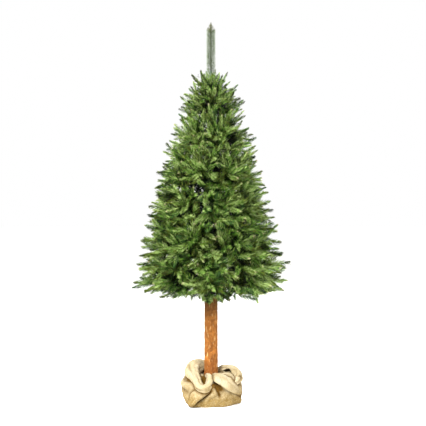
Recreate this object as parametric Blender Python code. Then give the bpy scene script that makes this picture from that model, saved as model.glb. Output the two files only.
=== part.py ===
"""A slim artificial Christmas tree on a natural pine log, its weighted foot wrapped in jute cloth.

Metres, +Z up, with the origin on the ground under the log. The tree is built from the ground up:
a weighted block, the jute cloth knotted over it, the log standing in the block, a steel pole
standing in the log, the foliage masses hooked round the pole in tiers, and the brush at the top.
"""

import math

import bmesh
import bpy
import numpy as np
from mathutils.bvhtree import BVHTree

# ---- Overall sizes ----
TREE_HEIGHT = 2.20
GAP = 0.0003  # clearance between pieces that rest on each other
OVERCUT = 0.050  # how far a cutting form passes the face that it opens

# ---- Weighted block inside the cloth ----
BLOCK_SIDE = 0.200
BLOCK_HEIGHT = 0.100
BLOCK_EDGE = 0.018
BLOCK_TURN = math.radians(3)
SOCKET_FLOOR = 0.030  # height of the log's flat cut above the ground

# ---- Log and pole ----
LOG_RADIUS_FOOT = 0.0405
LOG_RADIUS_TOP = 0.0385
LOG_TOP = 0.612
LOG_SIDES = 20
LOG_WOBBLE = 0.0009  # how far the log is out of round
LOG_WOBBLE_TURN = 0.6
POLE_RADIUS_FOOT = 0.014
POLE_RADIUS_TOP = 0.009
POLE_TOP = 1.915
POLE_SIDES = 12
POLE_SOCKET_DEPTH = 0.070

# ---- Jute cloth ----
CLOTH = 0.004
CLOTH_SIDES = 22
NECK_CLEARANCE = 0.0015
NECK_TOP = 0.300  # where the log's opening in the cloth ends, above all cloth
# (height, radius) of the bundle from the ground up, over the shoulder and in to the log
BUNDLE_PROFILE = (
    (0.000, 0.146),
    (0.014, 0.153),
    (0.050, 0.165),
    (0.095, 0.174),
    (0.130, 0.168),
    (0.156, 0.146),
    (0.170, 0.108),
    (0.168, 0.070),
    (0.160, 0.048),
)
# the same for the room inside it, a cloth's thickness or more within
HOLLOW_PROFILE = (
    (CLOTH, 0.142),
    (0.050, 0.160),
    (0.108, 0.166),
    (0.148, 0.138),
    (0.162, 0.060),
)
# folded corners of the cloth: (bearing in degrees, how far it stands out at the ground, height where it fades)
BUNDLE_CORNERS = ((-132.0, 0.034, 0.110), (6.0, 0.016, 0.080), (128.0, 0.020, 0.090))
CORNER_WIDTH = math.radians(24)
CORNER_SHARPNESS = 1.4
ROLL_SIDES = 5
# the two thick rolls of the knot, and their radii at shares along them
KNOT_PATH = (
    (-0.010, 0.068, 0.165),
    (-0.070, 0.058, 0.200),
    (-0.112, 0.018, 0.204),
    (-0.108, -0.045, 0.180),
    (-0.082, -0.098, 0.150),
    (-0.062, -0.142, 0.112),
    (-0.018, -0.152, 0.100),
    (0.014, -0.126, 0.124),
    (0.010, -0.078, 0.160),
)
KNOT_RADII = ((0, 0.15, 0.6, 0.85, 1), (0.022, 0.034, 0.030, 0.028, 0.018))
EAR_PATH = (
    (0.030, 0.062, 0.160),
    (0.070, 0.050, 0.186),
    (0.112, 0.022, 0.196),
    (0.150, -0.008, 0.176),
    (0.152, -0.048, 0.140),
    (0.118, -0.098, 0.128),
    (0.060, -0.082, 0.158),
)
EAR_RADII = ((0, 0.3, 0.7, 1), (0.018, 0.026, 0.024, 0.018))

# ---- Foliage envelope ----
FOLIAGE_FOOT = 0.585
FOLIAGE_TOP = 1.945
WIDEST_AT = 0.700
WIDEST_REACH = 0.466
REACH_TOP = 1.970  # the height at which the envelope would close
REACH_POWER = 0.55
FOOT_TUCK = 0.35  # share of the reach lost at the very foot of the foliage

# ---- Tiers of foliage masses ----
MASSES_PER_TIER = (8, 7, 7, 6, 5, 4)
TIER_TURN = 0.11
SPRAYS_PER_HUB = 2
# how far each bound between tiers rises from the pole to the tips, and how much it arches on the way
TIER_RISE = (0.0, 0.050, 0.110, 0.150, 0.175, 0.185, 0.0)
TIER_ARCH = (0.030, 0.040, 0.030, 0.020, 0.010, 0.0, 0.0)
# the bounds also wave, this far up and down and this often round the tree
BOUND_WAVE = 0.016
WAVES = 5
WAVE_SHIFT = 2.1
REACH_SCATTER = 0.016
# (share across the sector, share up the tier) of the hubs that the outermost sprays grow from
HUBS = ((0.02, 0.50), (-0.70, 0.34), (0.68, 0.16), (-0.46, 0.86), (0.40, 0.84), (-0.10, 0.12))
SLIM_HUBS = ((0.04, 0.54), (-0.66, 0.44), (0.62, 0.18), (-0.50, 0.88), (0.36, 0.87), (-0.20, 0.17))
TOP_HUBS = (
    (0.04, 0.95),
    (-0.58, 0.78),
    (0.58, 0.84),
    (0.02, 0.56),
    (-0.54, 0.40),
    (0.52, 0.46),
    (-0.10, 0.12),
    (-0.70, 0.10),
    (0.55, 0.13),
)
# scatter of a hub, as shares across and up, and how its spray's root draws in to the mass's middle
HUB_SCATTER = (0.06, 0.025)
HUB_SPRAY = 0.96
ROOT_SQUEEZE = (0.93, 0.96)
ROOT_CLEAR = 0.022  # least distance of a spray's root from the pole's side
FIRST_GUESS = 0.2  # distance from the pole where the search for a hub's reach starts
# where a stem meets the pole: its share up the tier there, and the steps between neighbours
ROOT_SHARE = 0.42
ROOT_STAGGER = 0.013
LOWEST_ROOT = 0.672
HIGHEST_ROOTS = 1.80
# where the limbs fork from the stem: the first, and the step to the next
FORKS_FROM = 0.85
FORK_STEP = 0.10
SPACE_MARGIN = 0.0035  # distance kept from a mass's bounds
MIDDLE_ROOM = 0.005  # distance kept from the log and the pole
BRUSH_ROOM = 0.003  # more of it beside the brush
END_ROOM = 0.010  # how far past the log's top and the brush's foot that holds
SPRAY_ELEVATION = ((0.60, -18.0), (0.76, 2.0), (1.35, 16.0), (1.75, 36.0), (1.95, 62.0))
SPRAY_LENGTH = (0.165, 0.105)  # at the foot and at the top of the foliage
SPRAY_WIDTH = (0.086, 0.064)
SPRAY_THICKNESS = 0.42  # share of its width
CREST_AT = 0.36  # where along it a spray is thickest
LENGTH_SCATTER = (0.88, 1.06)
WIDTH_SCATTER = (0.92, 1.06)
TIP_OVER = 0.016  # how far a tip may pass the envelope
# (distance along the blade, distance to the side) of the points down its left and right edges
SPRAY_LEFT = ((0.38, 1.00), (0.47, 0.68))
SPRAY_RIGHT = ((0.54, 0.92),)
SPRAY_ROLL = math.radians(55)
STEM_RADIUS = (0.0055, 0.0035)
TWIG_RADIUS = (0.0038, 0.0030)
SPRAY_SINK = 0.006  # how far the first spray's root lies inside its limb's end
SPRAY_STEP = 0.024  # spacing of the next sprays' roots back from it
ROOTS_RANGE = 0.8  # share of the limb that they may use
STRAIGHT_TRIES = 6
MIN_SPREAD = math.radians(40)
RING_SPREAD = (38.0, 78.0)
TRIES = 40
SHORTEN = (1.0, 0.86, 0.70)
STEM_CLEAR = 0.024  # where a stem leaves the pole's side
CORE_START = 0.050
CORE_SHARE = 0.84  # the core's reach as a share of where the outermost sprays begin
CORE_LEAST = 0.025
CORE_SWELL = (1.0, 1.0, 0.72)  # its size at its start, middle and end
# (share across the sector, share up the tier) round the core
CORE_RING = ((0.88, 0.46), (0.52, 0.92), (-0.52, 0.92), (-0.88, 0.46), (0.0, 0.07))

# ---- Top brush ----
BRUSH_FOOT = POLE_TOP + GAP
BRUSH_CORE = 0.0040
BRUSH_REACH = 0.0265
BRUSH_LEVELS = 10
BRUSH_SIDES = 10
BRUSH_TAPER = 0.030  # length of the pointed end
BRUSH_TIP = 0.0006
BRUSH_LIFT = 0.4  # how far up its level a needle ring stands
BRUSH_END_ROOM = 0.012  # least height kept between a needle ring and the tree's top
GOLDEN_ANGLE = math.pi * (3 - math.sqrt(5))

UP = np.array((0.0, 0.0, 1.0))


# ---------------------------------------------------------------- shapes


def unit(vector):
    return vector / np.linalg.norm(vector)


def outward(bearing, elevation=0.0):
    """The direction away from the pole at a bearing, raised by an elevation, both in radians."""
    flat = math.cos(elevation)
    return np.array((math.cos(bearing) * flat, math.sin(bearing) * flat, math.sin(elevation)))


def square_to(direction, towards):
    """The unit vector square to a direction that leans most towards another."""
    towards = np.asarray(towards, float)
    flat = towards - direction * (towards @ direction)
    if np.linalg.norm(flat) < 1e-6:
        flat = np.cross(direction, (1.0, 0.0, 0.0))
    return unit(flat)


def loft(rings):
    """Points and faces of a closed tube through rings with the same number of points."""
    count = len(rings[0])
    points = [tuple(point) for ring in rings for point in ring]
    faces = [tuple(reversed(range(count)))]
    for start in range(0, (len(rings) - 1) * count, count):
        for i in range(count):
            j = (i + 1) % count
            faces.append((start + i, start + j, start + count + j, start + count + i))
    last = (len(rings) - 1) * count
    faces.append(tuple(range(last, last + count)))
    return points, faces


def ring(centre, direction, radius, sides):
    """Points round a centre, square to a direction."""
    first = square_to(direction, UP)
    second = np.cross(direction, first)
    turns = [2 * math.pi * i / sides for i in range(sides)]
    return [centre + radius * (math.cos(t) * first + math.sin(t) * second) for t in turns]


def sweep(path, radii, sides):
    """A tube along a path, with one radius for each of its points."""
    path = [np.asarray(point, float) for point in path]
    rings = []
    for i, point in enumerate(path):
        before, after = path[max(i - 1, 0)], path[min(i + 1, len(path) - 1)]
        rings.append(ring(point, unit(after - before), radii[i], sides))
    return loft(rings)


def smooth_path(knots, count):
    """Points spaced along a Catmull-Rom curve through a few knots."""
    knots = np.array([knots[0], *knots, knots[-1]], float)
    spans = len(knots) - 3
    found = []
    for share in np.linspace(0, spans, count):
        k = min(int(share), spans - 1)
        t = share - k
        a, b, c, d = knots[k : k + 4]
        found.append(
            0.5
            * (
                2 * b
                + (c - a) * t
                + (2 * a - 5 * b + 4 * c - d) * t * t
                + (3 * b - a - 3 * c + d) * t**3
            )
        )
    return found


def upright(profile, sides, shape=lambda height, bearing: 1.0):
    """A turned form from (height, radius) pairs; shape scales the radius by height and bearing."""
    bearings = [2 * math.pi * i / sides for i in range(sides)]
    return loft(
        [
            [outward(b) * radius * shape(height, b) + UP * height for b in bearings]
            for height, radius in profile
        ]
    )


# ---------------------------------------------------------------- objects


def material(name, colour, roughness, metallic=0.0):
    made = bpy.data.materials.get(name)
    if made is None:
        made = bpy.data.materials.new(name)
        made.use_nodes = True
        shader = made.node_tree.nodes["Principled BSDF"]
        shader.inputs["Base Color"].default_value = (*colour, 1.0)
        shader.inputs["Roughness"].default_value = roughness
        shader.inputs["Metallic"].default_value = metallic
    return made


def solid(name, shape, finish=None, collection=None):
    points, faces = shape
    mesh = bpy.data.meshes.new(name)
    mesh.from_pydata([tuple(map(float, p)) for p in points], [], faces)
    mesh.update()
    obj = bpy.data.objects.new(name, mesh)
    (collection or bpy.context.scene.collection).objects.link(obj)
    if finish is not None:
        mesh.materials.append(finish)
    return obj


def combine(obj, shapes, operation, solver):
    """Joins shapes to an object, or cuts them from it, in one Boolean that is then applied."""
    others = bpy.data.collections.new(obj.name + "_others")
    bpy.context.scene.collection.children.link(others)
    for i, shape in enumerate(shapes):
        solid(f"{obj.name}_other_{i}", shape, collection=others)
    boolean = obj.modifiers.new(operation.lower(), "BOOLEAN")
    boolean.operand_type = "COLLECTION"
    boolean.collection = others
    boolean.operation = operation
    boolean.solver = solver
    graph = bpy.context.evaluated_depsgraph_get()
    made = bpy.data.meshes.new_from_object(obj.evaluated_get(graph))
    obj.modifiers.clear()
    obj.data = made
    for other in list(others.objects):
        bpy.data.objects.remove(other)
    bpy.data.collections.remove(others)
    return obj


def smooth(obj, angle=40):
    obj.data.shade_smooth()
    obj.data.set_sharp_from_angle(angle=math.radians(angle))
    return obj


# ---------------------------------------------------------------- foot


def build_block():
    """The cast block that weighs the tree down, with a socket for the log."""
    frame = bmesh.new()
    bmesh.ops.create_cube(frame, size=1.0)
    for vertex in frame.verts:
        vertex.co.x *= BLOCK_SIDE
        vertex.co.y *= BLOCK_SIDE
        vertex.co.z = CLOTH + GAP + (vertex.co.z + 0.5) * BLOCK_HEIGHT
    bmesh.ops.bevel(
        frame, geom=frame.edges[:], offset=BLOCK_EDGE, segments=1, profile=0.5, affect="EDGES"
    )
    mesh = bpy.data.meshes.new("stand_block")
    frame.to_mesh(mesh)
    frame.free()
    mesh.materials.append(material("cast_concrete", (0.42, 0.41, 0.39), 0.9))
    block = bpy.data.objects.new("stand_block", mesh)
    block.rotation_euler.z = BLOCK_TURN
    bpy.context.scene.collection.objects.link(block)
    bpy.context.view_layer.update()
    socket = log_form(SOCKET_FLOOR - GAP, BLOCK_HEIGHT + OVERCUT, clearance=GAP)
    combine(block, [socket], "DIFFERENCE", "EXACT")
    return smooth(block)


def log_radius(height):
    return LOG_RADIUS_FOOT + (LOG_RADIUS_TOP - LOG_RADIUS_FOOT) * height / LOG_TOP


def log_form(foot, top, clearance=0.0, levels=2):
    """The log's slightly uneven round between two heights, grown by a clearance."""
    profile = [(z, log_radius(z) + clearance) for z in np.linspace(foot, top, levels)]

    def uneven(height, bearing):
        return 1 + LOG_WOBBLE / LOG_RADIUS_FOOT * math.cos(3 * bearing + LOG_WOBBLE_TURN)

    return upright(profile, LOG_SIDES, uneven)


def build_log():
    """The natural log, from its flat cut in the block to its top inside the foliage."""
    log = solid(
        "trunk_log",
        log_form(SOCKET_FLOOR, LOG_TOP, levels=5),
        material("pine_bark", (0.50, 0.23, 0.07), 0.85),
    )
    floor = LOG_TOP - POLE_SOCKET_DEPTH
    bore = POLE_RADIUS_FOOT + GAP
    socket = upright([(floor - GAP, bore), (LOG_TOP + OVERCUT, bore)], POLE_SIDES)
    combine(log, [socket], "DIFFERENCE", "EXACT")
    return smooth(log)


def pole_radius(height):
    share = (height - LOG_TOP) / (POLE_TOP - LOG_TOP)
    return POLE_RADIUS_FOOT + (POLE_RADIUS_TOP - POLE_RADIUS_FOOT) * max(share, 0.0)


def build_pole():
    """The steel pole that carries the foliage, standing in the log's top."""
    floor = LOG_TOP - POLE_SOCKET_DEPTH
    heights = (floor, LOG_TOP, POLE_TOP)
    pole = solid(
        "centre_pole",
        upright([(z, pole_radius(z)) for z in heights], POLE_SIDES),
        material("green_paint", (0.03, 0.10, 0.04), 0.45, 0.3),
    )
    return smooth(pole)


def corner_shape(height, bearing):
    """How much the cloth's folded corners stand out of the round bundle."""
    grown = 1.0
    for degrees, out, fades_at in BUNDLE_CORNERS:
        off = math.remainder(bearing - math.radians(degrees), 2 * math.pi)
        share = max(0.0, 1 - abs(off) / CORNER_WIDTH) ** CORNER_SHARPNESS
        grown += out / BUNDLE_PROFILE[0][1] * share * max(0.0, 1 - height / fades_at)
    return grown


def build_cloth():
    """The jute square gathered over the block and knotted round the log, as one hollow bundle."""
    cloth = solid(
        "jute_wrap",
        upright(BUNDLE_PROFILE, CLOTH_SIDES, corner_shape),
        material("jute", (0.62, 0.47, 0.24), 0.95),
    )
    rolls = []
    for path, (shares, radii), count in ((KNOT_PATH, KNOT_RADII, 14), (EAR_PATH, EAR_RADII, 11)):
        thick = np.interp(np.linspace(0, 1, count), shares, radii)
        rolls.append(sweep(smooth_path(path, count), thick, ROLL_SIDES))
    combine(cloth, rolls, "UNION", "EXACT")
    hollow = upright(HOLLOW_PROFILE, CLOTH_SIDES, corner_shape)
    neck = log_form(SOCKET_FLOOR + OVERCUT, NECK_TOP, clearance=NECK_CLEARANCE)
    combine(cloth, [hollow, neck], "DIFFERENCE", "EXACT")
    return smooth(cloth, 50)


# ---------------------------------------------------------------- foliage rule


def reach_at(height):
    """How far from the pole the tips reach at a height."""
    if height < WIDEST_AT:
        below = min(1.0, (WIDEST_AT - height) / (WIDEST_AT - FOLIAGE_FOOT))
        return WIDEST_REACH * (1 - FOOT_TUCK * below**2)
    share = max(0.0, REACH_TOP - height) / (REACH_TOP - WIDEST_AT)
    return WIDEST_REACH * share**REACH_POWER


def elevation_at(height):
    heights, degrees = zip(*SPRAY_ELEVATION)
    return math.radians(float(np.interp(height, heights, degrees)))


def by_height(pair, height):
    """A value that goes evenly from the foliage's foot to its top."""
    share = (height - FOLIAGE_FOOT) / (FOLIAGE_TOP - FOLIAGE_FOOT)
    return pair[0] + (pair[1] - pair[0]) * min(1.0, max(0.0, share))


class Space:
    """The room of one mass: a sector round the pole, between the tier bounds under and over it."""

    def __init__(self, tier, index):
        self.tier = tier
        self.count = MASSES_PER_TIER[tier]
        self.half = math.pi / self.count
        self.bearing = -math.pi / 2 + 2 * self.half * (index + 0.5 * (tier % 2)) + TIER_TURN * tier
        self.index = index

    def bound(self, tier, radius, bearing=None):
        """Height of the wavy bound under a tier, at a distance from the pole and a bearing."""
        tiers = len(MASSES_PER_TIER)
        at_tips = FOLIAGE_FOOT + (FOLIAGE_TOP - FOLIAGE_FOOT) * tier / tiers
        if tier == tiers:
            return at_tips
        bearing = self.bearing if bearing is None else bearing
        share = min(1.0, radius / reach_at(at_tips))
        wave = BOUND_WAVE * math.sin(WAVES * bearing + WAVE_SHIFT * tier)
        arch = 4 * TIER_ARCH[tier] * share * (1 - share)
        return at_tips - TIER_RISE[tier] * (1 - share) + arch + wave * share

    def place(self, across, up, radius):
        """The point at a share across the sector, a share up the tier and a distance from the pole."""
        bearing = self.bearing + across * self.half
        low = self.bound(self.tier, radius, bearing)
        high = self.bound(self.tier + 1, radius, bearing)
        return outward(bearing) * radius + UP * (low + (high - low) * up)

    def holds(self, points, margin=SPACE_MARGIN):
        """Whether every point lies inside the space and clear of the log, the pole and the brush."""
        for x, y, z in points:
            radius = math.hypot(x, y)
            bearing = math.atan2(y, x)
            off = abs(math.remainder(bearing - self.bearing, 2 * math.pi))
            inner = LOG_RADIUS_FOOT if z < LOG_TOP + END_ROOM else POLE_RADIUS_FOOT
            if z > BRUSH_FOOT - END_ROOM:
                inner = BRUSH_REACH + BRUSH_ROOM
            if radius < inner + MIDDLE_ROOM or off >= self.half:
                return False
            if radius * math.sin(self.half - off) < margin and self.count > 2:
                return False
            if z < self.bound(self.tier, radius, bearing) + margin:
                return False
            if z > self.bound(self.tier + 1, radius, bearing) - margin:
                return False
        return True


def hub_places(tier):
    """Where a mass's hubs lie in its space: shares across the sector and up the tier."""
    if tier == len(MASSES_PER_TIER) - 1:
        return TOP_HUBS
    return HUBS if MASSES_PER_TIER[tier] > 5 else SLIM_HUBS


def hub_of(space, across, up, draw):
    """(root of the outermost spray, its direction, its tip) for a hub."""
    across += draw.uniform(-HUB_SCATTER[0], HUB_SCATTER[0])
    up += draw.uniform(-HUB_SCATTER[1], HUB_SCATTER[1])
    radius = reach_at(space.place(across, up, FIRST_GUESS)[2])
    for _ in range(3):
        radius = reach_at(space.place(across, up, radius)[2])
    tip = space.place(across, up, radius - draw.uniform(0.0, REACH_SCATTER))
    length = by_height(SPRAY_LENGTH, tip[2]) * HUB_SPRAY
    bearing = math.atan2(tip[1], tip[0])
    flat = math.hypot(tip[0], tip[1])
    if space.tier == len(MASSES_PER_TIER) - 1:
        root = tip - outward(bearing, elevation_at(tip[2])) * length
    else:
        root = space.place(across * ROOT_SQUEEZE[0], 0.5 + (up - 0.5) * ROOT_SQUEEZE[1], flat - length)
    closest = POLE_RADIUS_FOOT + ROOT_CLEAR
    if root[:2] @ outward(bearing)[:2] < closest:
        root = outward(bearing) * closest + UP * root[2]
    return root, unit(tip - root), tip


def spray_outline(length, width):
    """Points round a toothed blade: distance along it and to the side."""
    left = [(along * length, out * width / 2) for along, out in SPRAY_LEFT]
    right = [(along * length, -out * width / 2) for along, out in reversed(SPRAY_RIGHT)]
    return [(0.0, 0.0), *left, (length, 0.0), *right]


def spray_shape(spray):
    """A toothed blade of needles, thickest along its middle."""
    root, direction, face, length, width = spray
    side = np.cross(face, direction)
    outline = [root + direction * along + side * out for along, out in spray_outline(length, width)]
    middle = root + direction * length * CREST_AT
    crest = face * width * SPRAY_THICKNESS / 2
    points = [*outline, middle + crest, middle - crest]
    count = len(outline)
    faces = []
    for i in range(count):
        j = (i + 1) % count
        faces.append((j, i, count))
        faces.append((i, j, count + 1))
    return points, faces


def spray_fits(space, spray):
    """Whether a blade keeps to its mass's space and inside the envelope."""
    points, _ = spray_shape(spray)
    root, direction, _, length, _ = spray
    inner = [0.5 * (points[i] + points[i + 1]) for i in range(len(points) - 3)]
    if not space.holds([*points[1:], *inner]):
        return False
    tip = root + direction * length
    return math.hypot(tip[0], tip[1]) < reach_at(tip[2]) + TIP_OVER


def tree_of(shape):
    """A shape ready to be tested for crossings."""
    points, faces = shape
    return BVHTree.FromPolygons([tuple(point) for point in points], faces)


def limb_fits(space, limb):
    """Whether a twig keeps to its mass's space from a little way past its fork."""
    shares = np.linspace(0.2, 1.0, 9)
    return space.holds([limb[0] + (limb[-1] - limb[0]) * s for s in shares], 2 * SPACE_MARGIN)


def grow_sprays(space, limb, axis, first_length, wanted, core, taken, draw):
    """Sprays at a limb's end: one straight on, then others to the sides further back."""
    end = np.asarray(limb[-1])
    back = unit(np.asarray(limb[-2]) - end)
    room = np.linalg.norm(np.asarray(limb[-2]) - end) * ROOTS_RANGE
    turn = draw.uniform(0, 2 * math.pi)
    first_side = square_to(axis, UP)
    second_side = np.cross(axis, first_side)
    found = []
    for attempt in range(TRIES):
        if len(found) == wanted:
            break
        length = by_height(SPRAY_LENGTH, end[2]) * draw.uniform(*LENGTH_SCATTER) * SHORTEN[attempt % 3]
        spread = math.radians(draw.uniform(*RING_SPREAD))
        if not found and attempt < STRAIGHT_TRIES:
            length, spread = first_length * (1 - 0.04 * attempt), 0.03 * attempt
        about = turn + GOLDEN_ANGLE * attempt
        sideways = math.cos(about) * first_side + math.sin(about) * second_side
        direction = unit(math.cos(spread) * axis + math.sin(spread) * sideways)
        if any(direction @ other[1] > math.cos(MIN_SPREAD) for other in found):
            continue
        root = end + back * (SPRAY_SINK + min(SPRAY_STEP * len(found), room))
        roll = draw.uniform(-SPRAY_ROLL, SPRAY_ROLL)
        level = square_to(direction, UP)
        face = math.cos(roll) * level + math.sin(roll) * np.cross(direction, level)
        width = by_height(SPRAY_WIDTH, end[2]) * draw.uniform(*WIDTH_SCATTER)
        spray = (root, direction, face, length, width)
        shape = tree_of(spray_shape(spray))
        if any(shape.overlap(other) for other in taken):
            continue
        in_core = math.hypot(root[0], root[1]) < core_reach(space)
        if core and not in_core and shape.overlap(core):
            continue
        if spray_fits(space, spray):
            found.append(spray)
            taken.append(shape)
    return found


def core_reach(space):
    """How far out the dense core of a mass goes; zero where the mass is too slim for one."""
    height = space.place(0.0, 0.5, FIRST_GUESS)[2]
    end = CORE_SHARE * (reach_at(height) - by_height(SPRAY_LENGTH, height))
    return end if end > CORE_START + CORE_LEAST else 0.0


def stem_root(space):
    """Where a mass's stem meets the pole, staggered so that neighbours keep clear."""
    low = space.bound(space.tier, STEM_CLEAR)
    high = min(space.bound(space.tier + 1, STEM_CLEAR), HIGHEST_ROOTS)
    levels = 3 if space.count % 2 else 2
    height = max(low + ROOT_SHARE * (high - low), LOWEST_ROOT) + ROOT_STAGGER * (space.index % levels)
    if levels == 3 and space.index == space.count - 1 and space.index % levels == 0:
        height += ROOT_STAGGER
    return outward(space.bearing) * (pole_radius(height) + GAP) + UP * height


def stem_of(space, main_root):
    """The path of a mass's stem from the pole, through the core where there is one."""
    start = stem_root(space)
    leave = outward(space.bearing) * STEM_CLEAR + UP * (start[2] + 0.004)
    end = core_reach(space)
    if not end:
        return [start, leave, 0.5 * (leave + main_root) - UP * 0.010, main_root]
    radii = np.linspace(CORE_START, end, len(CORE_SWELL))
    return [start, leave, *[space.place(0.0, 0.5, radius) for radius in radii]]


def core_shape(space, stem):
    """A mass's stem as it swells into the dense core inside the mass, and closes again."""
    tangent = outward(space.bearing + math.pi / 2)
    rings = []
    for centre, radius in zip(stem[:2], STEM_RADIUS):
        turns = [math.atan2(2 * (up - 0.5), across) for across, up in CORE_RING]
        rings.append(
            [centre + radius * (math.cos(t) * tangent + math.sin(t) * UP) for t in turns]
        )
    for centre, swell in zip(stem[2:], CORE_SWELL):
        radius = math.hypot(centre[0], centre[1])
        rings.append(
            [space.place(a * swell, 0.5 + (up - 0.5) * swell, radius) for a, up in CORE_RING]
        )
    return loft(rings)


def grow_mass(tier, index):
    """(space, stem, limbs, sprays) of one mass. A limb is (path, first radius, last radius)."""
    space = Space(tier, index)
    draw = np.random.default_rng(1000 * tier + index)
    hubs = [hub_of(space, *place, draw) for place in hub_places(tier)]
    stem = stem_of(space, hubs[0][0])
    has_core = core_reach(space) > 0
    core = tree_of(core_shape(space, stem)) if has_core else None
    taken = []
    limbs = []
    sprays = []
    for i, (root, axis, tip) in enumerate(hubs):
        if has_core:
            share = FORKS_FROM - FORK_STEP * i
            limb = [stem[2] + (stem[4] - stem[2]) * share, root]
        elif i:
            limb = [stem[1] + (stem[2] - stem[1]) * FORK_STEP * i, root]
        else:
            limb = stem[2:]
        if not limb_fits(space, limb):
            continue
        if has_core or i:
            limbs.append((limb, *TWIG_RADIUS))
        length = np.linalg.norm(tip - root)
        sprays += grow_sprays(space, limb, axis, length, SPRAYS_PER_HUB, core, taken, draw)
    return space, stem, limbs, sprays


# ---------------------------------------------------------------- foliage solids


def against_pole(shape, stem):
    """A stem's shape with its first ring laid flat against the pole."""
    points, faces = shape
    away = unit(stem[0] * np.array((1.0, 1.0, 0.0)))
    start = stem[0] @ away
    for i in faces[0]:
        point = np.asarray(points[i])
        points[i] = tuple(point - away * (point @ away - start))
    return points, faces


def build_mass(tier, index):
    space, stem, limbs, sprays = grow_mass(tier, index)
    if core_reach(space):
        inside = core_shape(space, stem)
    else:
        inside = sweep(stem, np.linspace(*STEM_RADIUS, len(stem)), 3)
    shade = 0.85 + 0.3 * ((tier + index) % 3) / 2
    mass = solid(
        f"foliage_{tier + 1}_{index + 1}",
        against_pole(inside, stem),
        material(f"needles_{(tier + index) % 3}", (0.09 * shade, 0.17 * shade, 0.035 * shade), 0.55),
    )
    shapes = [sweep(path, (thick, thin), 3) for path, thick, thin in limbs]
    shapes += [spray_shape(spray) for spray in sprays]
    return combine(mass, shapes, "UNION", "MANIFOLD")


def build_brush():
    """The upright brush at the top: a slim core with needles standing out of it, level by level."""
    foot, top = BRUSH_FOOT, TREE_HEIGHT - BRUSH_TAPER
    rise = (top - foot) / BRUSH_LEVELS
    bearings = [2 * math.pi * i / BRUSH_SIDES for i in range(BRUSH_SIDES)]
    rings = []
    for level in range(BRUSH_LEVELS):
        height = foot + rise * level
        rings.append([outward(b) * BRUSH_CORE + UP * height for b in bearings])
        longest = min(BRUSH_REACH, TREE_HEIGHT - BRUSH_END_ROOM - height - BRUSH_LIFT * rise)
        spread = []
        for i, bearing in enumerate(bearings):
            out = longest if i % 2 == level % 2 else BRUSH_CORE
            lift = out - BRUSH_CORE
            spread.append(outward(bearing) * out + UP * (height + BRUSH_LIFT * rise + lift))
        rings.append(spread)
    rings.append([outward(b) * BRUSH_CORE + UP * top for b in bearings])
    rings.append([outward(b) * BRUSH_TIP + UP * TREE_HEIGHT for b in bearings])
    return solid("top_brush", loft(rings), material("needles_grey", (0.22, 0.30, 0.17), 0.6))


def main():
    for obj in list(bpy.data.objects):
        bpy.data.objects.remove(obj)
    build_block()
    build_cloth()
    build_log()
    build_pole()
    for tier, count in enumerate(MASSES_PER_TIER):
        for index in range(count):
            build_mass(tier, index)
    build_brush()


main()
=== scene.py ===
"""The slim artificial Christmas tree with its needles, bark and knotted jute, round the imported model."""

import math

import bpy
import numpy as np
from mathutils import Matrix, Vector, noise
from mathutils.bvhtree import BVHTree


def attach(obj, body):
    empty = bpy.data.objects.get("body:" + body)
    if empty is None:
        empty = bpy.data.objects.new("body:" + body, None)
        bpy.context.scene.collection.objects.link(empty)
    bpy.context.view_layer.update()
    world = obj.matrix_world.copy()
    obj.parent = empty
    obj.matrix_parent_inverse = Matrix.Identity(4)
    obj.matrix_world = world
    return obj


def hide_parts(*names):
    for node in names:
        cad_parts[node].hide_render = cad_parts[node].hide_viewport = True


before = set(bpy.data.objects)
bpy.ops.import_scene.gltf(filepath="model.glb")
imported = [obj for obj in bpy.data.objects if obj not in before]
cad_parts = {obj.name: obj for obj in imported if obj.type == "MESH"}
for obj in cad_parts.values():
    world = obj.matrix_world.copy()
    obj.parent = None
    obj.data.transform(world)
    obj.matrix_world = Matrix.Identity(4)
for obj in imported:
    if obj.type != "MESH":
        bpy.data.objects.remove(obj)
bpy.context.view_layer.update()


def metres(table):
    """A table given in millimetres."""
    return np.array(table) / 1000


# Lengths are in metres and heights are over the floor. The front is at a bearing of -90 degrees.
UP = np.array((0.0, 0.0, 1.0))
GAP = 0.0003
FULL_TURN = 2 * math.pi
GOLDEN_ANGLE = math.pi * (3 - math.sqrt(5))
BRIGHTNESS = 0.60  # of the finishes, over that of their screen colours

# ---- Log and pole ----
LOG_RADIUS_FOOT = 0.0405
LOG_RADIUS_TOP = 0.0385
LOG_FOOT = 0.030
LOG_TOP = 0.612
LOG_WOBBLE = 0.0009
BARK_GRID = (168, 300)  # points round the log and up it
BARK_DEPTH = 0.0011
BARK_SINK = 0.0006
# layers of flakes: (how many round and up, depth, seed)
BARK_LAYERS = (((9, 22), BARK_DEPTH, 3), ((17, 52), 0.0006, 4), ((34, 120), 0.00025, 5))
POLE_RADIUS_FOOT = 0.014
POLE_RADIUS_TOP = 0.009
POLE_TOP = 1.915

# ---- Foliage envelope ----
FOLIAGE_FOOT = 0.585
FOLIAGE_TOP = 1.945
WIDEST_AT = 0.700
WIDEST_REACH = 0.466
REACH_TOP = 1.970
REACH_POWER = 0.55
FOOT_TUCK = 0.35
TIP_OVER = 0.016  # how far a main spray's tip may pass the envelope

# ---- Tiers of foliage masses ----
MASSES_PER_TIER = (8, 7, 7, 6, 5, 4)
TIER_TWIST = 0.11  # radians from tier to tier
TIER_RISE = (0.0, 0.050, 0.110, 0.150, 0.175, 0.185, 0.0)
TIER_ARCH = (0.030, 0.040, 0.030, 0.020, 0.010, 0.0, 0.0)
BOUND_WAVE = 0.016
SPACE_MARGIN = 0.0035
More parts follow.
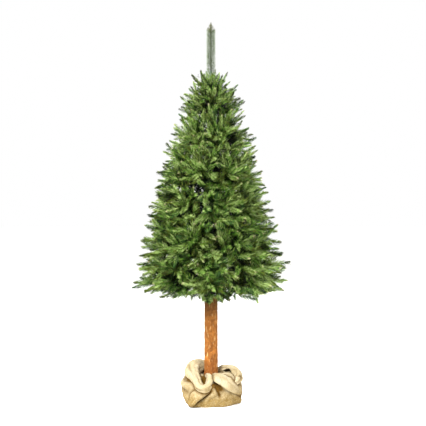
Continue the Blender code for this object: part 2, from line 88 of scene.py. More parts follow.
# where sprays gather in a mass: shares across its sector and up its tier
HUBS = ((0.02, 0.50), (-0.70, 0.34), (0.68, 0.16), (-0.46, 0.86), (0.40, 0.84), (-0.10, 0.12))
SLIM_HUBS = ((0.04, 0.54), (-0.66, 0.44), (0.62, 0.18), (-0.50, 0.88), (0.36, 0.87), (-0.20, 0.17))
TOP_HUBS = (
    (0.04, 0.95), (-0.58, 0.78), (0.58, 0.84),
    (0.02, 0.56), (-0.54, 0.40), (0.52, 0.46),
    (-0.10, 0.12), (-0.70, 0.10), (0.55, 0.13),
)
HUB_SCATTER = (0.06, 0.025)
HUB_CLEAR = 0.022
REACH_SCATTER = 0.016
ROOT_STAGGER = 0.013
ROOT_HEIGHT = 0.42  # share up the tier at which a stem leaves the pole
LOWEST_ROOT = 0.672
HIGHEST_ROOT = 1.80
STEM_RADIUS = (0.0055, 0.0035)
STEM_CLEAR = 0.024
TWIG_RADIUS = (0.0038, 0.0022)
CORE_START = 0.050
CORE_SHARE = 0.84
CORE_LEAST = 0.025
CORE_SWELL = (1.0, 1.0, 0.72)
CORE_RING = ((0.88, 0.46), (0.52, 0.92), (-0.52, 0.92), (-0.88, 0.46), (0.0, 0.07))

# ---- Main sprays; pairs of sizes go from the foot of the foliage to its top ----
SPRAYS_PER_HUB = 2
# by height, in degrees
SPRAY_ELEVATION = ((0.60, -18.0), (0.76, 2.0), (1.35, 16.0), (1.75, 36.0), (1.95, 62.0))
SPRAY_LENGTH = (0.165, 0.105)
SPRAY_WIDTH = (0.086, 0.064)
SPRAY_THICKNESS = 0.42
SPRAY_LEFT = ((0.38, 1.00), (0.47, 0.68))
SPRAY_RIGHT = ((0.54, 0.92),)
SPRAY_ROLL = math.radians(55)
SPRAY_SINK = 0.006
SPRAY_STEP = 0.024
MIN_SPREAD = math.radians(40)
RING_SPREAD = (38.0, 78.0)
TRIES = 40
STRAIGHT_TRIES = 6
SHORTEN = (1.0, 0.86, 0.70)

# ---- Finer sprays ----
SPRAY_SEED = 41
FINE_STEP = 0.016  # their spacing along a limb
FINE_SPREAD = (18.0, 92.0)
# by height, how far up or down their directions are pushed
FINE_LIFT = (
    (0.60, -0.62), (0.74, -0.40), (1.00, -0.20), (1.40, 0.12),
    (1.75, 0.42), (1.84, 0.58), (1.90, 0.88),
)
LIFT_SCATTER = 0.24
FINE_ROLL = math.radians(35)
FINE_LENGTH = (0.66, 1.08)  # share of a main spray's length
FINE_WIDTH = (0.80, 0.98)  # share of a main spray's width
FINE_CLEAR = (0.046, 0.029)  # least distance between the middles of two sprays
FINE_OVER = (-0.020, 0.034)  # how far their tips may pass the envelope
# by distance from the pole, the least height of their tips
UNDERSIDE = ((0.03, 0.578), (0.14, 0.580), (0.20, 0.612), (0.45, 0.645))
# by height, how much longer they are and how much further out they may end
LONGER = (
    (0.95, 0.0), (1.04, 0.010), (1.20, 0.010), (1.36, 0.020), (1.45, 0.016), (1.55, 0.020),
    (1.62, 0.040), (1.70, 0.036), (1.77, -0.004), (1.85, 0.034), (1.92, 0.055),
)
END_TRIES = 50
HANGING_SEED = 600
# distances from the pole of the sprays that hang round the log, for each of the lowest masses
HANGING = ((0.080,), (0.082,), (0.142,), (0.100, 0.060), (0.120,), (0.105, 0.060), (0.112,), (0.068,))
HANGING_FOOT = 0.584  # height of their tips
# The inner sprays are painted near black to stand for the shade inside the crown.
INNER_FOOT = 0.640
INNER_STEP = 0.0065  # spacing of the dark inner sprays along a stem
INNER_LENGTH = (0.060, 0.115)
POLE_SPRAYS = 12  # dark sprays of a mass that stand on the pole itself
POLE_SPRAY_TOP = 1.84
POLE_SPRAY_LENGTH = (0.060, 0.110)

# ---- Needles ----
NEEDLE_SEED = 32
SPRAY_SPAN = (0.073, 0.039)  # width of a spray's needles, at the foot and at the top of the foliage
SPAN_FLAT = 0.56
TUFTS_PER_METRE = 535
INNER_TUFTS_PER_METRE = 82
TUFT_NEEDLES = 4
ROW_SPACING = 0.0125  # a brush's needles stand in rows this far apart
ROW_PULL = 0.6
WIRE_SHARE = 0.93  # the part of a spray's length that carries needles
SPINE_RADII = (0.0016, 0.0013, 0.0007)
# along a spray: how far the needles stand out, and their lean from its wire in degrees
NEEDLE_PROFILE = ((0, 0.12, 0.35, 0.55, 0.75, 0.90, 1), (0.58, 0.90, 1.0, 0.90, 0.62, 0.32, 0.11))
NEEDLE_LEAN = ((0, 0.25, 0.65, 1.0), (58, 50, 44, 16))
NEEDLE_BOW = 0.22  # radians
BROADEST_AT = 0.42  # share of a needle's length
NEEDLE_WIDTH = (0.0026, 0.0020)
INNER_BROADER = 1.5  # the inner needles' width over the others'
# The cover sought this way and at these steps sets the painted shade of needles that other foliage hides.
COVER_WAY = (0.86, 0.50)  # outward and up
COVER_STEPS = (0.018, 0.032, 0.046, 0.062)
COVER_CELL = 0.012
COVER_FROM = (-0.50, -0.50, 0.50)
COVER_CELLS = (84, 84, 124)
COVER_MOST = 1.5

# ---- Needle colours: (name, roughness, screen colour, slot), from dark to light, then the odd ones ----
NEEDLE_COLOURS = (
    ("shade", 0.40, (20, 38, 9), "needles_dark"),
    ("dark", 0.40, (45, 75, 21), "needles_dark"),
    ("deep", 0.40, (66, 106, 34), "needles_dark"),
    ("green", 0.40, (90, 132, 46), "needles_mid"),
    ("bright", 0.42, (116, 159, 60), "needles_mid"),
    ("fresh", 0.42, (149, 185, 84), "needles_light"),
    ("pale", 0.42, (187, 213, 128), "needles_light"),
    ("tips", 0.45, (232, 216, 172), "needles_light"),
    ("blue", 0.38, (84, 124, 64), "needles_mid"),
    ("olive", 0.42, (114, 131, 50), "needles_mid"),
    ("brown", 0.42, (74, 82, 28), "needles_dark"),
)
COLOUR_NUMBER = {name: number for number, (name, *_) in enumerate(NEEDLE_COLOURS)}
TONE_MIDDLE = 4.85
TONE_SPREAD = 0.85
TONE_RISE = 0.45  # how much lighter the crown's top is than its foot
PAINTED_SHADE_COVERED = 5.7
# along a spray: painted shade toward its root, and its own lighter needles toward its end
TONE_ALONG = ((0, 0.25, 0.55, 0.8), (-1.7, -0.4, 0.4, 0.4))
TIP_DROP = (0.9, 3.2)  # how much darker the ends of pale-tipped sprays and of the others are
JUT_PAINTED_SHADE = 1.7
TUFT_TONE = (0.9, 2.7, 0.55)  # its scatter, its change from row to row, and the weight of both
DULL_SPRAYS = (0.16, 1.7)  # their share and how much darker they are
PALE_TIPPED = 0.33
OLIVE_SPRAYS = 0.28
BLUE_SPRAYS = 0.13
TIPS_TONE = 2.5  # the least tone of a needle with a buff tip

# ---- Leader ----
BRUSH_FOOT = POLE_TOP + GAP
BRUSH_REACH = 0.0265
LEADER_SEED = 7
LEADER_SIDES = 2300  # needles up its length
LEADER_ENDS = 330  # needles of its point
LEADER_SHOULDER = 2.154  # height at which the brush starts to close to its point
LEADER_TOP = 2.1975
LEADER_REACH = 0.0305
LEADER_LEAN = math.radians(72)
LEADER_HALF_WIDTH = 0.00058
LEADER_STEM = ((BRUSH_FOOT, 2.05, 2.15, 2.196), (0.0040, 0.0038, 0.0036, 0.0018))  # heights and radii

# ---- Jute cloth ----
CLOTH_FOOT = 0.0004
CLOTH_THICKNESS = 0.0026
THREAD = 0.0044
# the bundle's height and radius, from its foot up its sides and in to the log
BUNDLE_PROFILE = metres(
    (
        (0, 146), (14, 153), (50, 165), (95, 174), (130, 168),
        (156, 146), (170, 108), (168, 70), (160, 48), (135, 45.5),
    )
)
# corners: (bearing, how far out, the height at which it fades)
BUNDLE_CORNERS = (
    (-132.0, 0.034, 0.110), (-82.0, -0.018, 0.090), (-9.0, 0.028, 0.120), (128.0, 0.020, 0.090),
)
CORNER_WIDTH = math.radians(24)
WRAP_REACH = 0.14
# pleats: (bearing, distance up the cloth) where each starts and ends, its width, and its lift
WRAP_FOLDS = (
    (-178, 0.150, -138, 0.146, 0.010, -0.006),
    (-185, 0.122, -142, 0.120, 0.014, 0.007),
    (-176, 0.092, -132, 0.088, 0.014, -0.007),
    (-170, 0.048, -142, 0.052, 0.014, 0.004),
    (-118, 0.190, -72, 0.190, 0.036, -0.030),
    (-133, 0.008, -91, 0.098, 0.008, -0.020),
    (-81, 0.128, -71, 0.062, 0.007, -0.013),
    (-80, 0.165, -68, 0.100, 0.013, -0.016),
    (-50, 0.060, -20, 0.075, 0.014, 0.004),
    (-44, 0.110, -8, 0.040, 0.012, -0.012),
    (6, 0.200, 4, 0.030, 0.012, 0.006),
    (18, 0.230, 22, 0.060, 0.008, -0.010),
    (34, 0.240, 46, 0.050, 0.013, 0.007),
    (52, 0.240, 62, 0.080, 0.008, -0.010),
    (74, 0.240, 80, 0.060, 0.014, 0.007),
    (90, 0.240, 98, 0.040, 0.008, -0.010),
    (108, 0.240, 112, 0.060, 0.013, 0.006),
    (120, 0.230, 121, 0.030, 0.008, -0.008),
    (129, 0.250, 128, 0.020, 0.010, 0.009),
    (140, 0.240, 137, 0.040, 0.008, -0.010),
    (152, 0.240, 158, 0.090, 0.013, 0.007),
    (166, 0.240, 176, 0.110, 0.008, -0.009),
    (-60, 0.235, -40, 0.150, 0.010, -0.008),
)
KNOT_PATH = metres(
    (
        (0, 66, 166), (-34, 64, 190), (-70, 50, 198), (-100, 16, 192), (-108, -30, 180),
        (-98, -80, 168), (-80, -124, 148), (-64, -158, 122), (-38, -170, 113), (-14, -160, 124),
        (-6, -132, 148), (-8, -98, 164), (-26, -72, 170),
    )
)
KNOT_RADII = metres((22, 34, 41, 45, 42, 34, 27, 24, 24, 23, 21, 18, 12))
KNOT_CREASES = ((3, 9, 0.16), (7, -14, 0.10))  # how many, their twist and their depth
EAR_PATH = metres(
    (
        (24, 62, 152), (46, 58, 170), (78, 48, 180), (116, 26, 180),
        (146, 0, 167), (158, -34, 148), (144, -70, 131), (116, -96, 122),
    )
)
EAR_RADII = metres((18, 22, 27, 29, 28, 25, 20, 14))
EAR_CREASES = ((4, 6, 0.14), (6, -9, 0.08))
EAR_TURN = 0.15
EAR_HOLLOWS = ((0.43, 1.2, 0.09),)  # (share along, width in radians, length)
EAR_DENTS = (((0.166, -0.052, 0.156), 0.013, 0.010),)  # (centre, width, depth)
# painted shade where folds lie against the cloth: its reach and depth
CONTACT_REACH = 0.020
CONTACT_DEPTH = 0.012
CREASE_SHADE = 0.0026
LAP_GRID = (44, 56)
RIGHT_LAP = metres(
    (
        ((10, -62, 172), (58, -62, 170), (106, -62, 148), (148, -48, 120), (174, -32, 90)),
        ((6, -96, 168), (54, -114, 164), (102, -114, 141), (144, -84, 108), (172, -50, 74)),
        ((10, -130, 162), (48, -158, 152), (92, -164, 124), (136, -126, 92), (168, -66, 62)),
        ((14, -136, 156), (48, -160, 142), (90, -163, 115), (132, -124, 84), (164, -64, 56)),
    )
)
LEFT_LAP = metres(
    (
        ((-112, -116, 10), (-110, -122, 46), (-100, -130, 80), (-70, -138, 102)),
        ((-122, -140, 12), (-118, -146, 46), (-104, -150, 82), (-66, -152, 104)),
        ((-116, -152, 12), (-106, -160, 46), (-82, -168, 78), (-42, -170, 104)),
        ((-112, -158, 12), (-84, -170, 44), (-50, -176, 72), (-10, -170, 102)),
        ((-108, -154, 10), (-80, -164, 38), (-46, -168, 65), (-8, -162, 94)),
    )
)

# ---- Studio ----
FLOOR_RADIUS = 60
FLOOR_SIDES = 64
CAMERA_PLACE = (0.012, -4.6, 1.093)
CAMERA_ANGLE = 30.0
LAMP_AIM = (0, 0, 1.1)
# lamps: (name, place, size, watts)
LAMPS = (
    ("key_light", (-2.4, -4.0, 4.9), 2.0, 1100.0),
    ("fill_light", (3.6, -3.0, 3.6), 3.0, 120.0),
    ("back_light", (2.2, 4.4, 4.6), 3.0, 420.0),
)


# ---------------------------------------------------------------- shader maths


class Wire:
    """An output of a shader node, with arithmetic that adds the nodes it needs."""

    def __init__(self, tree, output):
        self.tree = tree
        self.output = output

    def maths(self, operation, *values):
        return add_node(self.tree, "ShaderNodeMath", {"operation": operation}, dict(enumerate(values)))

    def __add__(self, other):
        return self.maths("ADD", self, other)

    def __mul__(self, other):
        return self.maths("MULTIPLY", self, other)

    __radd__ = __add__
    __rmul__ = __mul__

    def clamped(self, low, high):
        """The share of the way from low to high, kept between 0 and 1."""
        inputs = {"Value": self, "From Min": low, "From Max": high}
        return add_node(self.tree, "ShaderNodeMapRange", {"clamp": True}, inputs)

    def blend(self, first, second):
        """The first colour where this is 0, the second where it is 1."""
        inputs = {0: self, 6: first, 7: second}
        return add_node(self.tree, "ShaderNodeMix", {"data_type": "RGBA"}, inputs, 2)


def add_node(tree, kind, settings, inputs, output=0):
    """Adds a node; its settings come first, then the values or links of its sockets."""
    node = tree.nodes.new(kind)
    for name, value in settings.items():
        setattr(node, name, value)
    for name, value in inputs.items():
        if isinstance(value, Wire):
            tree.links.new(value.output, node.inputs[name])
        elif isinstance(value, tuple) and node.inputs[name].type == "RGBA":
            node.inputs[name].default_value = (*value, 1.0)
        else:
            node.inputs[name].default_value = value
    return Wire(tree, node.outputs[output])


class Finish:
    """A material with one Principled shader."""

    def __init__(self, name, colour, roughness, **constants):
        self.material = bpy.data.materials.new(name)
        self.material.use_nodes = True
        self.tree = self.material.node_tree
        self.shader = self.tree.nodes["Principled BSDF"]
        self.set("Base Color", colour)
        self.set("Roughness", roughness)
        for socket, value in constants.items():
            self.set(socket.replace("_", " "), value)

    def set(self, socket, value):
        if isinstance(value, Wire):
            self.tree.links.new(value.output, self.shader.inputs[socket])
        elif isinstance(value, tuple):
            self.shader.inputs[socket].default_value = (*value, 1.0)
        else:
            self.shader.inputs[socket].default_value = value

    def add(self, kind, settings, inputs, output=0):
        return add_node(self.tree, kind, settings, inputs, output)

    def position(self, stretch=(1.0, 1.0, 1.0)):
        """The point on the object, stretched along its axes."""
        place = self.add("ShaderNodeTexCoord", {}, {}, 3)
        return self.add("ShaderNodeVectorMath", {"operation": "MULTIPLY"}, {0: place, 1: stretch})

    def parts(self, vector):
        """The three numbers of a vector."""
        node = self.add("ShaderNodeSeparateXYZ", {}, {0: vector}).output.node
        return [Wire(self.tree, output) for output in node.outputs]

    def noise(self, vector, scale, detail=2.0, roughness=0.5):
        inputs = {"Vector": vector, "Scale": scale, "Detail": detail, "Roughness": roughness}
        return self.add("ShaderNodeTexNoise", {}, inputs)

    def value_of(self, name):
        """A number that the mesh carries at each of its points."""
        return self.add("ShaderNodeAttribute", {"attribute_name": name}, {}, 2)

    def bump(self, height, strength, distance):
        inputs = {"Height": height, "Strength": strength, "Distance": distance}
        self.set("Normal", self.add("ShaderNodeBump", {}, inputs))


def srgb(red, green, blue):
    """A screen colour from 0 to 255 as the shader's linear colour, shaded."""
    shares = (red / 255, green / 255, blue / 255)
    linear = (s / 12.92 if s <= 0.04045 else ((s + 0.055) / 1.055) ** 2.4 for s in shares)
    return tuple(BRIGHTNESS * value for value in linear)


# ---------------------------------------------------------------- meshes


def piece(name, points, faces, finish, smooth=True, values=None):
    """A mesh object; faces is an array with 3 or 4 corners a row, values are numbers on its points."""
    points = np.asarray(points, np.float32)
    faces = np.asarray(faces, np.int32)
    corners = faces.shape[1]
    mesh = bpy.data.meshes.new(name)
    mesh.vertices.add(len(points))
    mesh.vertices.foreach_set("co", points.ravel())
    mesh.loops.add(faces.size)
    mesh.loops.foreach_set("vertex_index", faces.ravel())
    mesh.polygons.add(len(faces))
    mesh.polygons.foreach_set("loop_start", np.arange(0, faces.size, corners, dtype=np.int32))
    mesh.update(calc_edges=True)
    if smooth:
        mesh.shade_smooth()
    for label, numbers in (values or {}).items():
        attribute = mesh.attributes.new(label, "FLOAT", "POINT")
        attribute.data.foreach_set("value", np.asarray(numbers, np.float32))
    mesh.materials.append(finish.material)
    obj = bpy.data.objects.new(name, mesh)
    bpy.context.scene.collection.objects.link(obj)
    return obj


def dress(obj, slot, *nodes):
    """Makes a piece ride on the tree and stand for its solids, which it hides; its slot is not used."""
    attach(obj, "root")
    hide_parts(*nodes)
    return obj


def unit(vector):
    return vector / np.linalg.norm(vector)


def units(vectors):
    """Each row at length 1."""
    return vectors / np.linalg.norm(vectors, axis=1, keepdims=True)


def read_at(value, table):
    """The number at a value, read between the (value, number) pairs of a table."""
    return float(np.interp(value, *zip(*table)))


def between(pair, share):
    return pair[0] + (pair[1] - pair[0]) * share


def ramp(value, start, width):
    """0 up to the start, then rising to 1 over the width."""
    return np.clip((value - start) / width, 0, 1)


def outward(bearing, elevation=0.0):
    """The direction away from the pole at a bearing, raised by an elevation, both in radians."""
    flat = math.cos(elevation)
    return np.array((math.cos(bearing) * flat, math.sin(bearing) * flat, math.sin(elevation)))


def square_to(direction, towards):
    """The unit vector square to a direction that leans most towards another."""
    towards = np.asarray(towards, float)
    flat = towards - direction * (towards @ direction)
    if np.linalg.norm(flat) < 1e-6:
        flat = np.cross(direction, (1.0, 0.0, 0.0))
    return unit(flat)


def turned(axis, angle, towards=UP):
    """The unit vector square to an axis, turned round it by an angle in radians."""
    first = square_to(axis, towards)
    return math.cos(angle) * first + math.sin(angle) * np.cross(axis, first)


def fanned(axis, spread, angle):
    """The direction at a spread from an axis and an angle round it, both in radians."""
    return unit(math.cos(spread) * axis + math.sin(spread) * turned(axis, angle))


def grid_faces(rows, columns, closed=False):
    """Corner numbers of the squares of a grid; closed joins the last column to the first."""
    corner = np.arange(rows * columns).reshape(rows, columns)
    beside = np.roll(corner, -1, axis=1)
    squares = np.stack([corner[:-1], beside[:-1], beside[1:], corner[1:]], axis=-1)
    if not closed:
        squares = squares[:, :-1]
    return squares.reshape(-1, 4)


def loft(rings):
    """Points and faces of a closed tube through rings with the same number of points."""
    count = len(rings[0])
    points = [tuple(point) for ring in rings for point in ring]
    sides = [tuple(int(i) for i in face) for face in grid_faces(len(rings), count, closed=True)]
    return points, [tuple(reversed(range(count))), *sides, tuple(range(len(points) - count, len(points)))]


def tubes(paths, sides):
    """Points and triangles of tapering wires; a path is (its points, their radii)."""
    points = []
    faces = []
    turns = np.linspace(0, FULL_TURN, sides, endpoint=False)
    for path, radii in paths:
        path = np.asarray(path, float)
        start = len(points)
        for i, radius in enumerate(radii):
            along = unit(path[min(i + 1, len(path) - 1)] - path[max(i - 1, 0)])
            first = square_to(along, UP)
            second = np.cross(along, first)
            points += [path[i] + radius * (math.cos(t) * first + math.sin(t) * second) for t in turns]
        for low in range(start, start + (len(path) - 1) * sides, sides):
            for i in range(sides):
                j = (i + 1) % sides
                faces.append((low + i, low + j, low + sides + j))
                faces.append((low + i, low + sides + j, low + sides + i))
        points.append(path[-1] + along * radius)
        top = len(points) - 1
        faces += [(top - sides + i, top - sides + (i + 1) % sides, top) for i in range(sides)]
    return points, faces


# ---------------------------------------------------------------- foliage rule


def pole_radius(height):
    share = (height - LOG_TOP) / (POLE_TOP - LOG_TOP)
    return between((POLE_RADIUS_FOOT, POLE_RADIUS_TOP), max(share, 0.0))


def reach_at(height):
    """How far from the pole the tips reach at a height."""
    if height < WIDEST_AT:
        below = min(1.0, (WIDEST_AT - height) / (WIDEST_AT - FOLIAGE_FOOT))
        return WIDEST_REACH * (1 - FOOT_TUCK * below**2)
    share = max(0.0, REACH_TOP - height) / (REACH_TOP - WIDEST_AT)
    return WIDEST_REACH * share**REACH_POWER


def elevation_at(height):
    return math.radians(read_at(height, SPRAY_ELEVATION))


def rise_of(height):
    """The share of the way from the foliage's foot to its top."""
    return (height - FOLIAGE_FOOT) / (FOLIAGE_TOP - FOLIAGE_FOOT)


def by_height(pair, height):
    """A value that goes evenly from the foliage's foot to its top."""
    return between(pair, min(1.0, max(0.0, rise_of(height))))


class Space:
    """The room of one mass: a sector round the pole, between the tier bounds under and over it."""

    def __init__(self, tier, index):
        self.tier = tier
        self.index = index
        self.count = MASSES_PER_TIER[tier]
        self.half = math.pi / self.count
        self.bearing = -math.pi / 2 + 2 * self.half * (index + 0.5 * (tier % 2)) + TIER_TWIST * tier

    def bound(self, tier, radius, bearing=None):
        """Height of the wavy bound under a tier, at a distance from the pole and a bearing."""
        tiers = len(MASSES_PER_TIER)
        at_tips = FOLIAGE_FOOT + (FOLIAGE_TOP - FOLIAGE_FOOT) * tier / tiers
        if tier == tiers:
            return at_tips
        bearing = self.bearing if bearing is None else bearing
        share = min(1.0, radius / reach_at(at_tips))
        wave = BOUND_WAVE * math.sin(5 * bearing + 2.1 * tier)
        arch = 4 * TIER_ARCH[tier] * share * (1 - share)
        return at_tips - TIER_RISE[tier] * (1 - share) + arch + wave * share

    def place(self, across, up, radius):
        """The point at a share across the sector, a share up the tier and a distance from the pole."""
        bearing = self.bearing + across * self.half
        low = self.bound(self.tier, radius, bearing)
        high = self.bound(self.tier + 1, radius, bearing)
        return outward(bearing) * radius + UP * (low + (high - low) * up)

    def holds(self, points, margin=SPACE_MARGIN):
        """Whether every point lies inside the space and clear of the log, the pole and the brush."""
        for x, y, z in points:
            radius = math.hypot(x, y)
            bearing = math.atan2(y, x)
            off = abs(math.remainder(bearing - self.bearing, FULL_TURN))
            inner = LOG_RADIUS_FOOT if z < LOG_TOP + 0.01 else POLE_RADIUS_FOOT
            if z > BRUSH_FOOT - 0.01:
                inner = BRUSH_REACH + 0.003
            if radius < inner + 0.005 or off >= self.half:
                return False
            if radius * math.sin(self.half - off) < margin and self.count > 2:
                return False
            if z < self.bound(self.tier, radius, bearing) + margin:
                return False
            if z > self.bound(self.tier + 1, radius, bearing) - margin:
                return False
        return True


def hub_places(tier):
    """Where a mass's hubs lie in its space: shares across the sector and up the tier."""
    if tier == len(MASSES_PER_TIER) - 1:
        return TOP_HUBS
    return HUBS if MASSES_PER_TIER[tier] > 5 else SLIM_HUBS


def hub_of(space, across, up, draw):
    """(root of the outermost spray, its direction, its tip) for a hub."""
    across += draw.uniform(-HUB_SCATTER[0], HUB_SCATTER[0])
    up += draw.uniform(-HUB_SCATTER[1], HUB_SCATTER[1])
    radius = 0.2
    for _ in range(4):
        radius = reach_at(space.place(across, up, radius)[2])
    tip = space.place(across, up, radius - draw.uniform(0.0, REACH_SCATTER))
    length = by_height(SPRAY_LENGTH, tip[2]) * 0.96
    bearing = math.atan2(tip[1], tip[0])
    flat = math.hypot(tip[0], tip[1])
    if space.tier == len(MASSES_PER_TIER) - 1:
        root = tip - outward(bearing, elevation_at(tip[2])) * length
    else:
        root = space.place(across * 0.93, 0.5 + (up - 0.5) * 0.96, flat - length)
    closest = POLE_RADIUS_FOOT + HUB_CLEAR
    if root[:2] @ outward(bearing)[:2] < closest:
        root = outward(bearing) * closest + UP * root[2]
    return root, unit(tip - root), tip


def spray_outline(length, width):
    """Points round a toothed blade: distance along it and to the side."""
    left = [(along * length, out * width / 2) for along, out in SPRAY_LEFT]
    right = [(along * length, -out * width / 2) for along, out in reversed(SPRAY_RIGHT)]
    return [(0.0, 0.0), *left, (length, 0.0), *right]


def spray_shape(spray):
    """A toothed blade of needles, thickest along its middle."""
    root, direction, face, length, width = spray
    side = np.cross(face, direction)
    outline = [root + direction * along + side * out for along, out in spray_outline(length, width)]
    middle = root + direction * length * 0.36
    crest = face * width * SPRAY_THICKNESS / 2
    points = [*outline, middle + crest, middle - crest]
    count = len(outline)
    faces = []
    for i in range(count):
        j = (i + 1) % count
        faces += [(j, i, count), (i, j, count + 1)]
    return points, faces


def spray_fits(space, spray):
    """Whether a blade keeps to its mass's space and inside the envelope."""
    points, _ = spray_shape(spray)
    root, direction, _, length, _ = spray
    inner = [0.5 * (points[i] + points[i + 1]) for i in range(len(points) - 3)]
    if not space.holds([*points[1:], *inner]):
        return False
    tip = root + direction * length
    return math.hypot(tip[0], tip[1]) < reach_at(tip[2]) + TIP_OVER


def tree_of(shape):
    """A shape ready to be tested for crossings."""
    points, faces = shape
    return BVHTree.FromPolygons([tuple(point) for point in points], faces)


def limb_fits(space, limb):
    """Whether a twig keeps to its mass's space from a little way past its fork."""
    shares = np.linspace(0.2, 1.0, 9)
    return space.holds([limb[0] + (limb[-1] - limb[0]) * s for s in shares], 2 * SPACE_MARGIN)


def grow_sprays(space, limb, axis, first_length, core, taken, draw):
    """Sprays at a limb's end: one straight on, then others to the sides further back."""
    end = np.asarray(limb[-1])
    back = unit(np.asarray(limb[-2]) - end)
    room = np.linalg.norm(np.asarray(limb[-2]) - end) * 0.8
    turn = draw.uniform(0, FULL_TURN)
    found = []
    for attempt in range(TRIES):
        if len(found) == SPRAYS_PER_HUB:
            break
        length = by_height(SPRAY_LENGTH, end[2]) * draw.uniform(0.88, 1.06) * SHORTEN[attempt % 3]
        spread = math.radians(draw.uniform(*RING_SPREAD))
        if not found and attempt < STRAIGHT_TRIES:
            length, spread = first_length * (1 - 0.04 * attempt), 0.03 * attempt
        direction = fanned(axis, spread, turn + GOLDEN_ANGLE * attempt)
        if any(direction @ other[1] > math.cos(MIN_SPREAD) for other in found):
            continue
        root = end + back * (SPRAY_SINK + min(SPRAY_STEP * len(found), room))
        face = turned(direction, draw.uniform(-SPRAY_ROLL, SPRAY_ROLL))
        width = by_height(SPRAY_WIDTH, end[2]) * draw.uniform(0.92, 1.06)
        spray = (root, direction, face, length, width)
        shape = tree_of(spray_shape(spray))
        if any(shape.overlap(other) for other in taken):
            continue
        in_core = math.hypot(root[0], root[1]) < core_reach(space)
        if core and not in_core and shape.overlap(core):
            continue
        if spray_fits(space, spray):
            found.append(spray)
            taken.append(shape)
    return found


def core_reach(space):
    """How far out the dense core of a mass goes; zero where the mass is too slim for one."""
    height = space.place(0.0, 0.5, 0.2)[2]
    end = CORE_SHARE * (reach_at(height) - by_height(SPRAY_LENGTH, height))
    return end if end > CORE_START + CORE_LEAST else 0.0


def stem_root(space):
    """Where a mass's stem meets the pole, staggered so that neighbours keep clear."""
    low = space.bound(space.tier, STEM_CLEAR)
    high = min(space.bound(space.tier + 1, STEM_CLEAR), HIGHEST_ROOT)
    levels = 3 if space.count % 2 else 2
    height = max(low + ROOT_HEIGHT * (high - low), LOWEST_ROOT) + ROOT_STAGGER * (space.index % levels)
    if levels == 3 and space.index == space.count - 1 and space.index % levels == 0:
        height += ROOT_STAGGER
    return outward(space.bearing) * (pole_radius(height) + GAP) + UP * height


def stem_of(space, main_root):
    """The path of a mass's stem from the pole, through the core where there is one."""
    start = stem_root(space)
    leave = outward(space.bearing) * STEM_CLEAR + UP * (start[2] + 0.004)
    end = core_reach(space)
    if not end:
        return [start, leave, 0.5 * (leave + main_root) - UP * 0.010, main_root]
    radii = np.linspace(CORE_START, end, len(CORE_SWELL))
    return [start, leave, *[space.place(0.0, 0.5, radius) for radius in radii]]


def core_shape(space, stem):
    """A mass's stem as it swells into the dense core inside the mass, and closes again."""
    tangent = outward(space.bearing + math.pi / 2)
    turns = [math.atan2(2 * (up - 0.5), across) for across, up in CORE_RING]
    rings = []
    for centre, radius in zip(stem[:2], STEM_RADIUS):
        rings.append([centre + radius * (math.cos(t) * tangent + math.sin(t) * UP) for t in turns])
    for centre, swell in zip(stem[2:], CORE_SWELL):
        radius = math.hypot(centre[0], centre[1])
        rings.append([space.place(a * swell, 0.5 + (up - 0.5) * swell, radius) for a, up in CORE_RING])
    return loft(rings)


def grow_mass(tier, index):
    """(space, stem, limbs, sprays) of one mass. A limb is (path, first radius, last radius)."""
    space = Space(tier, index)
    draw = np.random.default_rng(1000 * tier + index)
    hubs = [hub_of(space, *place, draw) for place in hub_places(tier)]
    stem = stem_of(space, hubs[0][0])
    has_core = core_reach(space) > 0
    core = tree_of(core_shape(space, stem)) if has_core else None
    taken = []
    limbs = []
    sprays = []
    for i, (root, axis, tip) in enumerate(hubs):
        if has_core:
            share = 0.85 - 0.10 * i
            limb = [stem[2] + (stem[4] - stem[2]) * share, root]
        elif i:
            limb = [stem[1] + (stem[2] - stem[1]) * 0.10 * i, root]
        else:
            limb = stem[2:]
        if not limb_fits(space, limb):
            continue
        if has_core or i:
            limbs.append((limb, *TWIG_RADIUS))
        sprays += grow_sprays(space, limb, axis, np.linalg.norm(tip - root), core, taken, draw)
    return space, stem, limbs, sprays


# ---------------------------------------------------------------- finer growth


def wire_fits(space, root, direction, length, over):
    """Whether a fine spray's wire stays in its mass and inside the envelope."""
    if not space.holds([root + direction * length * share for share in (0.45, 0.75)], -0.004):
        return False
    tip = root + direction * length
    inner = BRUSH_REACH + 0.012 if tip[2] > BRUSH_FOOT - 0.01 else 0.0
    out = math.hypot(tip[0], tip[1])
    over += read_at(tip[2], LONGER)
    return inner < out < reach_at(tip[2]) + over and tip[2] > read_at(out, UNDERSIDE)


def finer_sprays(space, limbs, sprays, draw):
    """Shorter sprays along each limb and round its end, where there is room between the main ones."""
    found = list(sprays)
    middles = [root + direction * length * 0.6 for root, direction, _, length, _ in sprays]
    for path, *_ in limbs:
        start, end = np.asarray(path[0]), np.asarray(path[-1])
        run = np.linalg.norm(end - start)
        axis = unit(end - start)
        places = [*np.arange(0.10 * run, run, FINE_STEP), *[run] * END_TRIES]
        turn = draw.uniform(0, FULL_TURN)
        for i, place in enumerate(places):
            spread = math.radians(draw.uniform(*FINE_SPREAD))
            direction = fanned(axis, spread, turn + GOLDEN_ANGLE * i)
            root = start + axis * place
            lift = read_at(root[2], FINE_LIFT) + draw.normal(0, LIFT_SCATTER)
            direction = unit(direction + UP * lift)
            length = by_height(SPRAY_LENGTH, root[2]) * draw.uniform(*FINE_LENGTH)
            length += read_at(root[2], LONGER)
            middle = root + direction * length * 0.6
            if min(np.linalg.norm(np.array(middles) - middle, axis=1)) < by_height(FINE_CLEAR, middle[2]):
                continue
            if not wire_fits(space, root, direction, length, draw.uniform(*FINE_OVER)):
                continue
            roll = draw.uniform(-FINE_ROLL, FINE_ROLL)
            face = turned(direction, roll, outward(math.atan2(root[1], root[0]), 0.35))
            width = by_height(SPRAY_WIDTH, root[2]) * draw.uniform(*FINE_WIDTH)
            found.append((root, direction, face, length, width))
            middles.append(middle)
    return found


